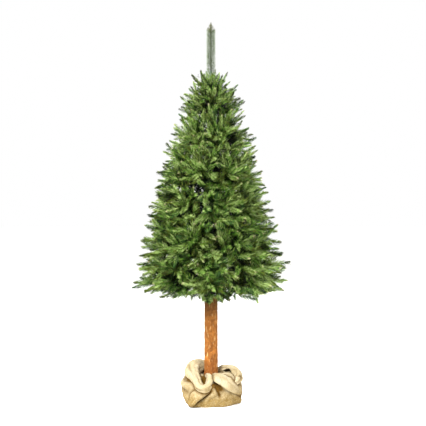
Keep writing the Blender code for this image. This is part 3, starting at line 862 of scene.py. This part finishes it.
def hanging_sprays(space, stem):
    """Sprays that hang from the lowest stems and close the foot of the crown round the log."""
    if space.tier:
        return []
    draw = np.random.default_rng(HANGING_SEED + space.index)
    radii = [math.hypot(point[0], point[1]) for point in stem]
    heights = [point[2] for point in stem]
    found = []
    for radius in HANGING[space.index]:
        bearing = space.bearing + draw.uniform(-0.1, 0.1)
        root = outward(bearing) * radius * 0.86 + UP * float(np.interp(radius * 0.86, radii, heights))
        tip = outward(bearing) * radius + UP * (HANGING_FOOT + draw.uniform(-0.006, 0.006))
        face = square_to(unit(tip - root), outward(bearing + draw.uniform(-1.1, -0.5)))
        found.append((root, unit(tip - root), face, np.linalg.norm(tip - root), 1.0))
    return found


def dark_shade_sprays(space, stem, limbs, draw):
    """Short sprays round the stem, the limbs and the pole, dark as painted shade, which close the view
    through the crown.
    """
    found = []
    for path in [stem[1:], *[limb[0] for limb in limbs]]:
        for start, end in zip(path[:-1], path[1:]):
            start, end = np.asarray(start), np.asarray(end)
            run = np.linalg.norm(end - start)
            axis = unit(end - start)
            for _ in range(int(run / INNER_STEP)):
                sideways = turned(axis, draw.uniform(0, FULL_TURN))
                direction = unit(sideways + axis * draw.uniform(-0.3, 0.9))
                root = start + axis * draw.uniform(0, run)
                length = draw.uniform(*INNER_LENGTH)
                height = (root + direction * length)[2]
                if height > INNER_FOOT and space.holds([root + direction * length * 0.7], -0.012):
                    found.append((root, direction, square_to(direction, UP), length, 1.0))
    low, high = (space.bound(space.tier + step, STEM_CLEAR) for step in (0, 1))
    for _ in range(POLE_SPRAYS):
        bearing = space.bearing + draw.uniform(-1, 1) * space.half
        direction = outward(bearing, draw.uniform(-0.2, 0.6))
        root = outward(bearing) * POLE_RADIUS_TOP + UP * draw.uniform(low, min(high, POLE_SPRAY_TOP))
        length = draw.uniform(*POLE_SPRAY_LENGTH)
        if root[2] > INNER_FOOT:
            found.append((root, direction, square_to(direction, UP), length, 1.0))
    return found


def needles_on(sprays, draw, tufts_per_metre):
    """Roots, middles, tips and half widths of all needles, their spray, share along it and tuft's tone."""
    roots, directions, faces, lengths = (np.array([spray[k] for spray in sprays]) for k in range(4))
    sides = np.cross(faces, directions)
    height = np.clip(rise_of(roots[:, 2]), 0, 1)
    widths = between(SPRAY_SPAN, height) * draw.uniform(0.9, 1.1, len(roots))
    counts = (lengths * tufts_per_metre).astype(int)
    tufts = np.repeat(np.arange(len(sprays)), counts)
    rank = np.arange(len(tufts)) - np.repeat(np.cumsum(counts) - counts, counts)
    share = (rank + draw.random(len(tufts))) / counts[tufts]
    phase = FULL_TURN * share * lengths[tufts] / ROW_SPACING
    share = share - ROW_PULL * ROW_SPACING / FULL_TURN * np.sin(phase) / lengths[tufts]
    rows = np.cos(phase)
    turn = rank * GOLDEN_ANGLE + draw.normal(0, 0.25, len(tufts))
    size = draw.uniform(0.86, 1.06, len(tufts)) * (1 + 0.14 * rows)
    tone = draw.normal(0, TUFT_TONE[0], len(tufts)) + TUFT_TONE[1] * rows
    lean = np.radians(np.interp(share, *NEEDLE_LEAN)) + draw.normal(0, 0.06, len(tufts))
    each = np.repeat(np.arange(len(tufts)), TUFT_NEEDLES)
    count = len(each)
    which = tufts[each]
    share = np.clip(share[each] + draw.normal(0, 0.008, count), 0, 1)
    turn = turn[each] + draw.normal(0, 0.13, count)
    lean = lean[each] + draw.normal(0, 0.05, count)
    reach = widths[which] * 0.5 * np.interp(share, *NEEDLE_PROFILE)
    reach = reach * size[each] * draw.uniform(0.82, 1.05, count)
    ahead = directions[which]
    out = np.cos(turn)[:, None] * sides[which] + SPAN_FLAT * np.sin(turn)[:, None] * faces[which]
    start = roots[which] + ahead * (lengths[which] * share * WIRE_SHARE)[:, None]
    long = reach / np.maximum(np.sin(lean), 0.36)
    tip = start + (ahead * np.cos(lean)[:, None] + out * np.sin(lean)[:, None]) * long[:, None]
    bowed = lean + NEEDLE_BOW
    middle = ahead * np.cos(bowed)[:, None] + out * np.sin(bowed)[:, None]
    middle = start + middle * (long * BROADEST_AT)[:, None]
    flat = units(np.cross(tip - start, out + 0.01 * UP))
    other = units(np.cross(flat, tip - start))
    tilt = draw.normal(0, 0.38, count)
    flat = flat * np.cos(tilt)[:, None] + other * np.sin(tilt)[:, None]
    half = between(NEEDLE_WIDTH, height[which]) / 2
    flat = flat * (half * draw.uniform(0.8, 1.2, count))[:, None]
    return start, middle, tip, flat, which, share, tone[each]


def needle_mesh(start, middle, tip, half, whole, lower, upper):
    """Points and triangles of needles of one colour: the whole ones, and the parts of two-coloured ones."""
    left, right = middle - half, middle + half
    kites = np.stack([start, left, right, tip], axis=1)[whole].reshape(-1, 3)
    feet = np.stack([start, left, right], axis=1)[lower].reshape(-1, 3)
    ends = np.stack([left, tip, right], axis=1)[upper].reshape(-1, 3)
    corners = np.array([[0, 1, 2], [1, 3, 2]])
    faces = (np.arange(len(kites) // 4)[:, None, None] * 4 + corners).reshape(-1, 3)
    rest = len(kites) + np.arange(len(feet) + len(ends)).reshape(-1, 3)
    return np.concatenate([kites, feet, ends]), np.concatenate([faces, rest])


def make_foliage(finishes):
    """Needles and wires of every mass, joined by colour and by pair of tiers."""
    draw = np.random.default_rng(SPRAY_SEED)
    needle_draw = np.random.default_rng(NEEDLE_SEED)
    for low_tier, label in ((0, "lower"), (2, "middle"), (4, "upper")):
        sprays = []
        inner = []
        wires = []
        nodes = []
        for tier in (low_tier, low_tier + 1):
            for index in range(MASSES_PER_TIER[tier]):
                space, stem, limbs, main = grow_mass(tier, index)
                sprays += finer_sprays(space, limbs, main, draw)
                inner += dark_shade_sprays(space, stem, limbs, draw)
                sprays += hanging_sprays(space, stem)
                nodes.append(f"foliage_{tier + 1}_{index + 1}")
                wires.append((stem, np.linspace(*STEM_RADIUS, len(stem))))
                wires += [(path, np.linspace(thick, thin, len(path))) for path, thick, thin in limbs]
        dress(piece(f"boughs_{label}", *tubes(wires, 6), finishes["bough"]), "needles_dark", *nodes)
        spines = [
            ([root, root + direction * length * 0.5, root + direction * length * 0.95], SPINE_RADII)
            for root, direction, _, length, _ in sprays
        ]
        dress(piece(f"spray_wires_{label}", *tubes(spines, 3), finishes["wire"]), "needles_dark", *nodes)
        deep = needles_on(inner, needle_draw, INNER_TUFTS_PER_METRE)
        every = np.ones(len(deep[0]), bool)
        made = needle_mesh(*deep[:3], deep[3] * INNER_BROADER, every, ~every, ~every)
        dress(piece(f"needles_inner_{label}", *made, finishes["inner"]), "needles_dark", *nodes)
        start, middle, tip, half, which, share, tone = needles_on(sprays, needle_draw, TUFTS_PER_METRE)
        cover = cover_over(tip, deep[2])
        foot, end = deal_colours(sprays, which, share, tone, cover, needle_draw)
        for number, (name, _, _, slot) in enumerate(NEEDLE_COLOURS):
            foot_here, end_here = foot == number, end == number
            whole = foot_here & end_here
            made = needle_mesh(start, middle, tip, half, whole, foot_here & ~whole, end_here & ~whole)
            dress(piece(f"needles_{name}_{label}", *made, finishes[name]), slot, *nodes)


def cover_over(points, others):
    """How much foliage stands outside and above each point, 0 for none."""
    grid = np.zeros(COVER_CELLS)

    def cells(places):
        cell = ((places - np.array(COVER_FROM)) / COVER_CELL).astype(int)
        return tuple(np.clip(cell, 0, np.array(COVER_CELLS) - 1).T)

    for some in (points, others):
        np.add.at(grid, cells(some), 1.0)
    grid /= np.quantile(grid[grid > 0], 0.8)
    out = units(points * (1.0, 1.0, 0.0)) * COVER_WAY[0] + UP * COVER_WAY[1]
    total = np.zeros(len(points))
    for far in COVER_STEPS:
        total += np.minimum(grid[cells(points + out * far)], COVER_MOST)
    return total / len(COVER_STEPS)


def deal_colours(sprays, which, share, tuft_tone, cover, draw):
    """Each needle's colour at its foot and at its end: by spray, with painted shade where others cover it.
    """
    count = len(sprays)
    height = np.array([rise_of(root[2]) for root, *_ in sprays])
    tone = draw.normal(0, TONE_SPREAD, count) + TONE_MIDDLE + TONE_RISE * (height - 0.4)
    tone = tone - DULL_SPRAYS[1] * (draw.random(count) < DULL_SPRAYS[0])
    family = draw.random(count)[which]
    pale_tip = (draw.random(count) < PALE_TIPPED)[which]
    # Darker toward a spray's root, lighter toward its end: partly the needles' own lighter tips, partly
    # painted shade near the wire.
    tone = tone[which] + np.interp(share, *TONE_ALONG)
    tone = tone - np.where(pale_tip, *TIP_DROP) * ramp(share, 0.55, 0.40)
    # Painted shade: darker where other foliage stands outside and above the needle.
    tone = tone - PAINTED_SHADE_COVERED * np.clip(cover - 0.05, 0, 0.9)
    ends = np.array([root + direction * length for root, direction, _, length, _ in sprays])
    past = np.hypot(ends[:, 0], ends[:, 1]) - np.array([reach_at(end[2]) for end in ends])
    # Painted shade on the ends of sprays that stick out past the envelope, and on those near the top.
    jut = ramp(past, 0, 0.018) + 0.4 * ramp(height, 0.75, 0.2)
    tone = tone - JUT_PAINTED_SHADE * jut[which] * ramp(share, 0.35, 0.45)
    tone = tone + TUFT_TONE[2] * tuft_tone + draw.normal(0, 0.2, len(which))
    lightest = COLOUR_NUMBER["pale"]
    # Each needle's foot is darker than its end: painted shade near the wire.
    foot, end = (np.clip(np.round(tone + step), 0, lightest).astype(int) for step in (-1.0, 0.6))
    olive = (family < OLIVE_SPRAYS) | (~pale_tip & (share > 0.78))
    for chosen, low, high, name in (
        (family > 1 - BLUE_SPRAYS, "deep", "bright", "blue"),
        (olive, "bright", "fresh", "olive"),
        (olive, "deep", "green", "brown"),
    ):
        inside = (end >= COLOUR_NUMBER[low]) & (end <= COLOUR_NUMBER[high])
        end = np.where(chosen & inside, COLOUR_NUMBER[name], end)
    end = np.where(pale_tip & (share > 0.93) & (tone > TIPS_TONE), COLOUR_NUMBER["tips"], end)
    return foot, end


def make_leader(finishes):
    """The straight twisted brush at the very top, thin enough to see through, and its pointed end."""
    draw = np.random.default_rng(LEADER_SEED)
    sides, ends = LEADER_SIDES, LEADER_ENDS
    root = np.linspace(BRUSH_FOOT + 0.001, LEADER_SHOULDER - 0.009, sides) + draw.normal(0, 0.0006, sides)
    turn = GOLDEN_ANGLE * np.arange(sides) + draw.normal(0, 0.3, sides)
    reach = LEADER_REACH * draw.uniform(0.94, 1.0, sides)
    tip_height = root + reach / math.tan(LEADER_LEAN) * ramp(root, BRUSH_FOOT, 0.02)
    end_tips = LEADER_SHOULDER + (LEADER_TOP - LEADER_SHOULDER) * draw.random(ends) ** 1.2
    turn = np.concatenate([turn, draw.uniform(0, FULL_TURN, ends)])
    end_reach = LEADER_REACH * (LEADER_TOP + 0.001 - end_tips) / (LEADER_TOP + 0.001 - LEADER_SHOULDER)
    reach = np.concatenate([reach, end_reach])
    root = np.concatenate([root, end_tips - 0.005 - end_reach * draw.uniform(0.5, 0.9, ends)])
    tip_height = np.concatenate([tip_height, end_tips])
    out = np.stack([np.cos(turn), np.sin(turn), np.zeros(len(turn))], axis=1)
    start = UP * root[:, None]
    tip = out * reach[:, None] + UP * tip_height[:, None]
    is_side = np.arange(len(turn)) < sides
    broadest = np.where(is_side, 0.72, 0.80)
    middle = start + (tip - start) * broadest[:, None] - UP * (reach * 0.03)[:, None]
    flat = units(np.cross(out, UP) + UP * draw.normal(0, 0.8, len(turn))[:, None])
    none = np.zeros(len(turn), bool)
    for name, colour, whole, lower, upper in (
        ("leader_feet", "leader_feet", none, is_side, none),
        ("leader_needles", "grey", none, none, is_side),
        ("leader_point", "leader_point", ~is_side, none, none),
    ):
        made = needle_mesh(start, middle, tip, flat * LEADER_HALF_WIDTH, whole, lower, upper)
        dress(piece(name, *made, finishes[colour]), "needles_grey", "top_brush")
    heights, radii = LEADER_STEM
    stem = tubes([([UP * z for z in heights], radii)], 8)
    dress(piece("leader_stem", *stem, finishes["leader_stem"]), "needles_grey", "top_brush")


# ---------------------------------------------------------------- log


def flakes_at(u, v, cells, seed):
    """Flakes of bark: each point's nearest flake, the distance to its edge, and where it lies on it."""
    around, up = cells
    centres = np.random.default_rng(seed).random((up, around, 2))
    u, v = u * around, v * up
    nearest = np.full(u.shape, 9.0)
    second = np.full(u.shape, 9.0)
    flake = np.zeros(u.shape, int)
    offset = np.zeros(u.shape)
    for dv in (-1, 0, 1):
        for du in (-1, 0, 1):
            cell_u = np.floor(u).astype(int) + du
            cell_v = np.floor(v).astype(int) + dv
            centre = centres[cell_v % up, cell_u % around]
            away_v = v - cell_v - centre[..., 1]
            away = np.hypot(u - cell_u - centre[..., 0], away_v)
            closer = away < nearest
            second = np.where(closer, nearest, np.minimum(second, away))
            flake = np.where(closer, (cell_v % up) * around + cell_u % around, flake)
            offset = np.where(closer, away_v, offset)
            nearest = np.where(closer, away, nearest)
    return flake, second - nearest, offset


def make_log(finish):
    """The pine log with its flaking bark and its two cut ends."""
    around, up = BARK_GRID
    bearings = np.linspace(0, FULL_TURN, around, endpoint=False)
    bearing, height = np.meshgrid(bearings, np.linspace(LOG_FOOT, LOG_TOP, up))
    u = bearing / FULL_TURN
    v = (height - LOG_FOOT) / (LOG_TOP - LOG_FOOT)
    warp = 0.012 * np.sin(FULL_TURN * (3 * u + 5 * v)) + 0.008 * np.sin(FULL_TURN * (7 * u - 11 * v))
    relief = np.zeros(u.shape)
    tint = np.zeros(u.shape)
    for cells, depth, seed in BARK_LAYERS:
        flake, edge, offset = flakes_at((u + warp) % 1.0, (v + 0.5 * warp) % 1.0, cells, seed)
        level = np.random.default_rng(seed + 50).random(flake.max() + 1)[flake]
        relief += depth * (level - 0.5) + depth * 0.5 * ramp(edge, 0, 0.18) - depth * 0.5 * offset * level
        tint += (level - 0.5) * depth / BARK_DEPTH
    base = LOG_RADIUS_FOOT + (LOG_RADIUS_TOP - LOG_RADIUS_FOOT) * height / LOG_TOP
    wobble = 1 + LOG_WOBBLE / LOG_RADIUS_FOOT * np.cos(3 * bearing + 0.6)
    radius = base * wobble + relief - BARK_SINK
    points = np.stack([radius * np.cos(bearing), radius * np.sin(bearing), height], axis=-1).reshape(-1, 3)
    even = np.arange(0, around, 2)
    arc = len(points) + np.stack([even, even + 1, (even + 2) % around], axis=-1)
    centre = np.full((len(even), 1), len(points) + 2 * around)
    foot_cut = np.hstack([centre, arc[:, ::-1]])
    top_cut = np.hstack([centre + 1, arc + around])
    centres = [[0, 0, LOG_FOOT], [0, 0, LOG_TOP]]
    points = np.concatenate([points, points[:around], points[-around:], centres])
    faces = np.concatenate([grid_faces(up, around, closed=True), foot_cut, top_cut])
    values = {"flake": np.concatenate([tint.ravel(), tint[0], tint[-1], [0, 0]])}
    dress(piece("bark_log", points, faces, finish, values=values), "pine_bark", "trunk_log")


# ---------------------------------------------------------------- jute cloth


def spline(knots, count):
    """Points spaced along a Catmull-Rom curve through rows of numbers."""
    knots = np.concatenate([[2 * knots[0] - knots[1]], knots, [2 * knots[-1] - knots[-2]]])
    share = np.linspace(0, len(knots) - 3, count)
    k = np.minimum(share.astype(int), len(knots) - 4)
    t = (share - k).reshape(-1, *[1] * (knots.ndim - 1))
    a, b, c, d = knots[k], knots[k + 1], knots[k + 2], knots[k + 3]
    return 0.5 * (2 * b + (c - a) * t + (2 * a - 5 * b + 4 * c - d) * t**2 + (3 * b - a - 3 * c + d) * t**3)


def crumple(points, scale, seed):
    """A soft uneven number from -1 to 1 at each point."""
    offset = Vector((seed * 7.3, seed * 3.1, seed * 5.7))
    numbers = [noise.noise(Vector(point) * scale + offset) for point in points.reshape(-1, 3)]
    return np.array(numbers).reshape(points.shape[:-1])


def rumple(grid, scales, depths, seed, crease_seed):
    """Crisp creases of a cloth, from -1 in them to 1 between them, and how far it rises over all."""
    broad = crumple(grid, scales[0], seed)
    fine = crumple(grid, scales[1], seed + 1)
    crease = 2 * np.minimum(np.abs(crumple(grid, scales[2], crease_seed)) * 3.2, 1.0) - 1
    return crease, depths[0] * broad + depths[1] * fine + depths[2] * crease


def normals_of(grid, closed=False):
    """Unit normals of a grid of points, to the right of its rows as they go up."""
    up = np.gradient(grid, axis=0)
    if closed:
        across = np.roll(grid, -1, axis=1) - np.roll(grid, 1, axis=1)
    else:
        across = np.gradient(grid, axis=1)
    normal = np.cross(across, up)
    return normal / np.maximum(np.linalg.norm(normal, axis=-1, keepdims=True), 1e-9)


def lengths_along(grid):
    """Metres along the rows and up the columns of a grid of points."""
    across = np.linalg.norm(np.diff(grid, axis=1), axis=-1).mean(axis=0)
    up = np.linalg.norm(np.diff(grid, axis=0), axis=-1).mean(axis=1)
    return np.meshgrid(*(np.concatenate([[0], np.cumsum(steps)]) for steps in (across, up)))


def cloth_piece(name, grid, finish, painted_shade, closed=False, thick=CLOTH_THICKNESS):
    """A sheet of jute from a grid of points, with its weave laid along the grid."""
    faces = grid_faces(*grid.shape[:2], closed)
    made = piece(name, grid.reshape(-1, 3), faces, finish, values={"fold": painted_shade.ravel()})
    places = np.stack(lengths_along(grid), axis=-1).reshape(-1, 2)
    layer = made.data.uv_layers.new(name="weave")
    corners = np.empty(len(made.data.loops), np.int32)
    made.data.loops.foreach_get("vertex_index", corners)
    layer.data.foreach_set("uv", places[corners].astype(np.float32).ravel())
    solid = made.modifiers.new("thickness", "SOLIDIFY")
    solid.thickness = thick
    solid.offset = -1
    return dress(made, "jute", "jute_wrap")


def bundle_at(bearing, run):
    """Points of the plain bundle at bearings and distances up the cloth from the ground."""
    count = len(BUNDLE_PROFILE)
    runs = np.concatenate([[0], np.cumsum(np.linalg.norm(np.diff(BUNDLE_PROFILE, axis=0), axis=1))])
    fine = spline(BUNDLE_PROFILE, 200)
    fine_runs = np.interp(np.linspace(0, count - 1, 200), np.arange(count), runs)
    height = np.interp(run, fine_runs, fine[:, 0])
    radius = np.interp(run, fine_runs, fine[:, 1])
    grown = np.ones(np.shape(radius))
    for degrees, out, fades_at in BUNDLE_CORNERS:
        off = np.abs((bearing - math.radians(degrees) + math.pi) % FULL_TURN - math.pi)
        share = np.maximum(0.0, 1 - off / CORNER_WIDTH) ** 1.4
        grown += out / BUNDLE_PROFILE[0, 1] * share * np.maximum(0.0, 1 - height / fades_at)
    radius = radius * grown
    return np.stack([radius * np.cos(bearing), radius * np.sin(bearing), height], axis=-1)


def fold_depth(bearing, run):
    """How far the pleats lift the bundle's cloth or sink it."""
    depth = np.zeros(np.shape(bearing))
    for start, low, end, high, width, lift in WRAP_FOLDS:
        start, end = math.radians(start), math.radians(end)
        span = np.array([(end - start) * WRAP_REACH, high - low])
        length = np.linalg.norm(span)
        off = (bearing - (start + end) / 2 + math.pi) % FULL_TURN - math.pi
        across = off * WRAP_REACH
        up = run - (low + high) / 2
        along = (across * span[0] + up * span[1]) / length
        beside = (across * span[1] - up * span[0]) / length
        past = np.maximum(np.abs(along) - length * 0.30, 0) / (length * 0.22)
        depth += lift * np.exp(-((beside / width) ** 2)) * np.exp(-(past**2))
    return depth


def contact_shade(grid, others):
    """How far painted shade darkens the cloth where other folds lie against it."""
    painted_shade = np.zeros(grid.shape[:2])
    for made in others:
        corners = [vertex.co for vertex in made.data.vertices]
        tree = BVHTree.FromPolygons(corners, [face.vertices for face in made.data.polygons])
        near = (tree.find_nearest(Vector(point), CONTACT_REACH)[3] for point in grid.reshape(-1, 3))
        gap = np.array([far or CONTACT_REACH for far in near]).reshape(painted_shade.shape)
        painted_shade = np.minimum(painted_shade, -CONTACT_DEPTH * (1 - gap / CONTACT_REACH) ** 1.4)
    return painted_shade


def make_bundle(finish, others):
    """The cloth round the block: flat under it, pleated up its sides and gathered in at the log."""
    bearings = np.linspace(0, FULL_TURN, 220, endpoint=False)
    total = np.linalg.norm(np.diff(BUNDLE_PROFILE, axis=0), axis=1).sum()
    bearing, run = np.meshgrid(bearings, np.linspace(0, total, 100))
    grid = bundle_at(bearing, run)
    normal = normals_of(grid, closed=True)
    lift = fold_depth(bearing, run)
    crease, soft = rumple(grid, (16.0, 42.0, 15.0), (0.0034, 0.0016, 0.0013), 1, 11)
    free = ramp(run, 0, 0.03) * np.clip((total - run) / 0.02, 0.25, 1)
    grid = grid + normal * ((lift + soft) * free)[..., None]
    grid[..., 2] = np.maximum(grid[..., 2], CLOTH_FOOT)
    shaded = contact_shade(grid, others)
    floor = grid[0][None] * np.array([0.12, 0.5, 0.8, 0.94])[:, None, None]
    floor[..., 2] = CLOTH_FOOT
    # Painted shade in the pleats' hollows and creases and where other folds lie on it.
    painted_shade = (lift + CREASE_SHADE * np.minimum(crease, 0)) * free + shaded
    painted_shade = np.concatenate([np.zeros(floor.shape[:2]), painted_shade])
    cloth_piece("wrap_bundle", np.concatenate([floor, grid]), finish, painted_shade, closed=True)


def make_roll(name, knots, radii, finish, seed, creases, hollows=(), turn=0.0, dents=()):
    """A puffed roll of cloth along a path. Hollows are slits where it opens, turned to face a way."""
    count = 96
    path = spline(knots, count)
    radius = spline(radii[:, None], count)
    ahead = units(np.gradient(path, axis=0))
    first = units(np.cross(ahead, UP + 0.001))
    second = np.cross(ahead, first)
    share = np.linspace(0, 1, count)
    gap = np.zeros(count)
    for at, width, spread in hollows:
        gap = gap + width * np.exp(-(((share - at) / spread) ** 2))
    around = gap[:, None] / 2 + (FULL_TURN - gap)[:, None] * np.linspace(0, 1, 60, endpoint=bool(hollows))
    wave = np.ones(around.shape)
    for times, twist, depth in creases:
        wave += depth * (np.abs(np.sin(0.5 * (times * (around + turn) + twist * share[:, None]))) - 0.6)
    side = np.cos(around + turn)[..., None] * first[:, None]
    face = np.sin(around + turn)[..., None] * second[:, None]
    grid = path[:, None] + (side + face) * (radius * wave)[..., None]
    normal = normals_of(grid, closed=not hollows)
    crease, soft = rumple(grid, (34.0, 85.0, 24.0), (0.0022, 0.0010, 0.0011), seed, seed + 20)
    grid = grid - normal * soft[..., None]
    # Painted shade in the roll's creases.
    painted_shade = (wave - 1) * 0.035 + CREASE_SHADE * np.minimum(crease, 0)
    for centre, width, depth in dents:
        near = np.exp(-((np.linalg.norm(grid - np.array(centre), axis=-1) / width) ** 2))
        grid = grid + units(path[:, None] - grid) * (depth * near)[..., None]
        # Painted shade in the dent.
        painted_shade = painted_shade - 0.013 * near
    return cloth_piece(name, grid, finish, painted_shade, closed=not hollows)


def make_lap(name, rows, finish, seed, others, edge=0.004):
    """A folded lap of cloth through rows of points, its free edges turned in a little."""
    grid = np.swapaxes(spline(np.swapaxes(spline(rows, LAP_GRID[0]), 0, 1), LAP_GRID[1]), 0, 1)
    normal = normals_of(grid)
    if (normal * np.array((0.0, -1.0, 0.4))).sum() < 0:
        normal = -normal
    u, v = np.meshgrid(*(np.linspace(0, 1, count) for count in LAP_GRID), indexing="ij")
    rim = np.minimum.reduce([u, 1 - u, v, 1 - v])
    puff = edge * (1 - np.exp(-rim * 14))
    crease, soft = rumple(grid, (22.0, 60.0, 20.0), (0.0024, 0.0012, 0.0012), seed, seed + 30)
    grid = grid + normal * (puff + soft * np.clip(rim * 8, 0.2, 1))[..., None]
    painted_shade = CREASE_SHADE * np.minimum(crease, 0) + contact_shade(grid, others)
    return cloth_piece(name, grid, finish, painted_shade, thick=0.003)


def make_cloth(finish):
    """The knot's two rolls, the two laps in front of them, and the bundle under all."""
    knot = make_roll("wrap_knot", KNOT_PATH, KNOT_RADII, finish, 3, KNOT_CREASES)
    ear = make_roll(
        "wrap_ear", EAR_PATH, EAR_RADII, finish, 5, EAR_CREASES, EAR_HOLLOWS, EAR_TURN, EAR_DENTS
    )
    right = make_lap("wrap_right_lap", RIGHT_LAP, finish, 7, (knot, ear), 0.010)
    left = make_lap("wrap_left_lap", LEFT_LAP, finish, 9, (knot,))
    make_bundle(finish, (knot, ear, right, left))


# ---------------------------------------------------------------- finishes


def needle_finish(name, roughness, colour):
    return Finish("needles_" + name, srgb(*colour), roughness, Specular_IOR_Level=0.12)


def bark_finish():
    """Orange flakes with pale flecks and dark cracks, darker near the cloth, with a painted shadow of the
    crown near its top.
    """
    made = Finish("pine_bark", srgb(190, 120, 54), 0.82, Specular_IOR_Level=0.15)
    height = made.parts(made.position())[2]
    place = made.position((1.0, 1.0, 0.36))
    flake = made.value_of("flake")
    broad = made.noise(place, 22.0, 3.0, 0.6)
    fine = made.noise(place, 170.0, 4.0, 0.65)
    fleck = made.noise(made.position((1.0, 1.0, 0.24)), 110.0, 2.0, 0.5)
    colour = (flake * 0.45 + broad).clamped(0.20, 0.80).blend(srgb(134, 80, 32), srgb(192, 122, 52))
    colour = fleck.clamped(0.58, 0.70).blend(colour, srgb(224, 176, 112))
    colour = fine.clamped(0.42, 0.30).blend(colour, srgb(100, 56, 20))
    colour = (height.clamped(0.27, 0.19) * 0.35).blend(colour, srgb(142, 74, 34))
    # Painted shadow of the crown on the log just under it.
    colour = (height.clamped(0.47, 0.575) * 0.75).blend(colour, srgb(62, 44, 16))
    made.set("Base Color", colour)
    made.bump(fine, 0.5, 0.0012)
    return made


def paint_finish():
    """Dark green paint of the pole."""
    made = Finish("green_paint", srgb(38, 66, 36), 0.45)
    cloud = made.noise(made.position(), 60.0, 3.0)
    made.set("Base Color", cloud.clamped(0.3, 0.7).blend(srgb(30, 54, 30), srgb(46, 78, 42)))
    made.bump(cloud, 0.15, 0.0004)
    return made


def concrete_finish():
    """Grey cast concrete of the stand's block."""
    made = Finish("cast_concrete", (0.4, 0.4, 0.38), 0.9)
    cloud = made.noise(made.position(), 45.0, 5.0, 0.6)
    grit = made.noise(made.position(), 520.0, 2.0)
    made.set("Base Color", cloud.clamped(0.3, 0.7).blend(srgb(150, 148, 142), srgb(186, 184, 178)))
    made.bump(cloud + grit * 0.4, 0.5, 0.0015)
    return made


def jute_finish():
    """Coarse woven jute, darker between its threads, with painted shade in its folds, and darker and more
    golden near the floor: partly its own tone, partly painted shade.
    """
    made = Finish("jute", srgb(186, 162, 112), 0.9, Specular_IOR_Level=0.08)
    place = made.position()
    cloud = made.noise(place, 26.0, 4.0, 0.6)
    weave = made.parts(made.add("ShaderNodeTexCoord", {}, {}, 2))
    across, up = (number * (FULL_TURN / THREAD) for number in weave[:2])
    threads = across.maths("SINE", across) * up.maths("SINE", up)
    upright = made.noise(made.position((1.0, 1.0, 0.12)), 420.0, 2.0)
    slub = upright + made.noise(made.position((0.12, 1.0, 1.0)), 420.0, 2.0)
    fold = made.value_of("fold")
    height = made.parts(place)[2]
    patch = cloud.clamped(0.32, 0.68)
    low = patch.blend(srgb(142, 112, 52), srgb(180, 150, 88))
    high = patch.blend(srgb(192, 172, 128), srgb(216, 203, 172))
    # Golden low and cream high: partly the cloth's own tone, partly painted shade toward the floor.
    colour = (height + cloud * 0.06).clamped(0.07, 0.18).blend(low, high)
    colour = slub.clamped(1.0, 1.35).blend(colour, srgb(228, 212, 168))
    # Painted shade in the folds and where folds touch.
    colour = fold.clamped(0.0, -0.011).blend(colour, srgb(94, 64, 10))
    colour = threads.clamped(-0.4, -1.0).blend(colour, srgb(132, 104, 58))
    made.set("Base Color", colour)
    made.bump(threads + slub * 0.8, 0.5, 0.0008)
    return made


finishes = {
    # near-black painted shade for the sprays inside the crown
    "inner": needle_finish("inner", 0.40, (13, 24, 10)),
    **{name: needle_finish(name, roughness, colour) for name, roughness, colour, _ in NEEDLE_COLOURS},
    "grey": needle_finish("grey", 0.55, (130, 151, 100)),
    "leader_feet": needle_finish("leader_feet", 0.55, (84, 104, 58)),
    "leader_point": needle_finish("leader_point", 0.55, (112, 114, 78)),
    "bough": Finish("bough", srgb(56, 50, 28), 0.7),
    "wire": Finish("wire", srgb(92, 80, 38), 0.6),
    "leader_stem": Finish("leader_stem", srgb(40, 48, 22), 0.6),
}

make_foliage(finishes)
make_leader(finishes)
make_log(bark_finish())
make_cloth(jute_finish())
for node, finish in (("centre_pole", paint_finish()), ("stand_block", concrete_finish())):
    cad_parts[node].material_slots[0].material = finish.material


# ---------------------------------------------------------------- floor, light and camera


def set_stage():
    """A pale floor, three soft lamps in a white world, and the camera."""
    floor = Finish("studio_floor", (0.93, 0.93, 0.925), 0.9)
    cloud = floor.noise(floor.position(), 0.6)
    floor.set("Base Color", cloud.blend((0.92, 0.92, 0.915), (0.94, 0.94, 0.935)))
    floor.set("Emission Color", (1.0, 1.0, 1.0))
    floor.set("Emission Strength", 0.10)
    turns = np.linspace(0, FULL_TURN, FLOOR_SIDES, endpoint=False)
    rim = [(FLOOR_RADIUS * math.cos(t), FLOOR_RADIUS * math.sin(t), 0.0) for t in turns]
    faces = [(i, (i + 1) % FLOOR_SIDES, FLOOR_SIDES) for i in range(FLOOR_SIDES)]
    piece("studio_floor", [*rim, (0.0, 0.0, 0.0)], faces, floor, smooth=False)
    world = bpy.data.worlds.new("studio")
    world.use_nodes = True
    sky = world.node_tree.nodes["Background"]
    sky.inputs["Color"].default_value = (1.0, 1.0, 1.0, 1.0)
    sky.inputs["Strength"].default_value = 1.0
    scene = bpy.context.scene
    scene.world = world
    scene.view_settings.view_transform = "Standard"
    for name, place, size, power in LAMPS:
        lamp = bpy.data.lights.new(name, "AREA")
        lamp.size = size
        lamp.energy = power
        holder = bpy.data.objects.new(name, lamp)
        holder.location = place
        holder.rotation_euler = (Vector(LAMP_AIM) - Vector(place)).to_track_quat("-Z", "Y").to_euler()
        scene.collection.objects.link(holder)
    lens = bpy.data.cameras.new("camera")
    lens.angle = math.radians(CAMERA_ANGLE)
    camera = bpy.data.objects.new("camera", lens)
    camera.location = CAMERA_PLACE
    camera.rotation_euler = (math.radians(90), 0, 0)
    scene.collection.objects.link(camera)
    scene.camera = camera


set_stage()
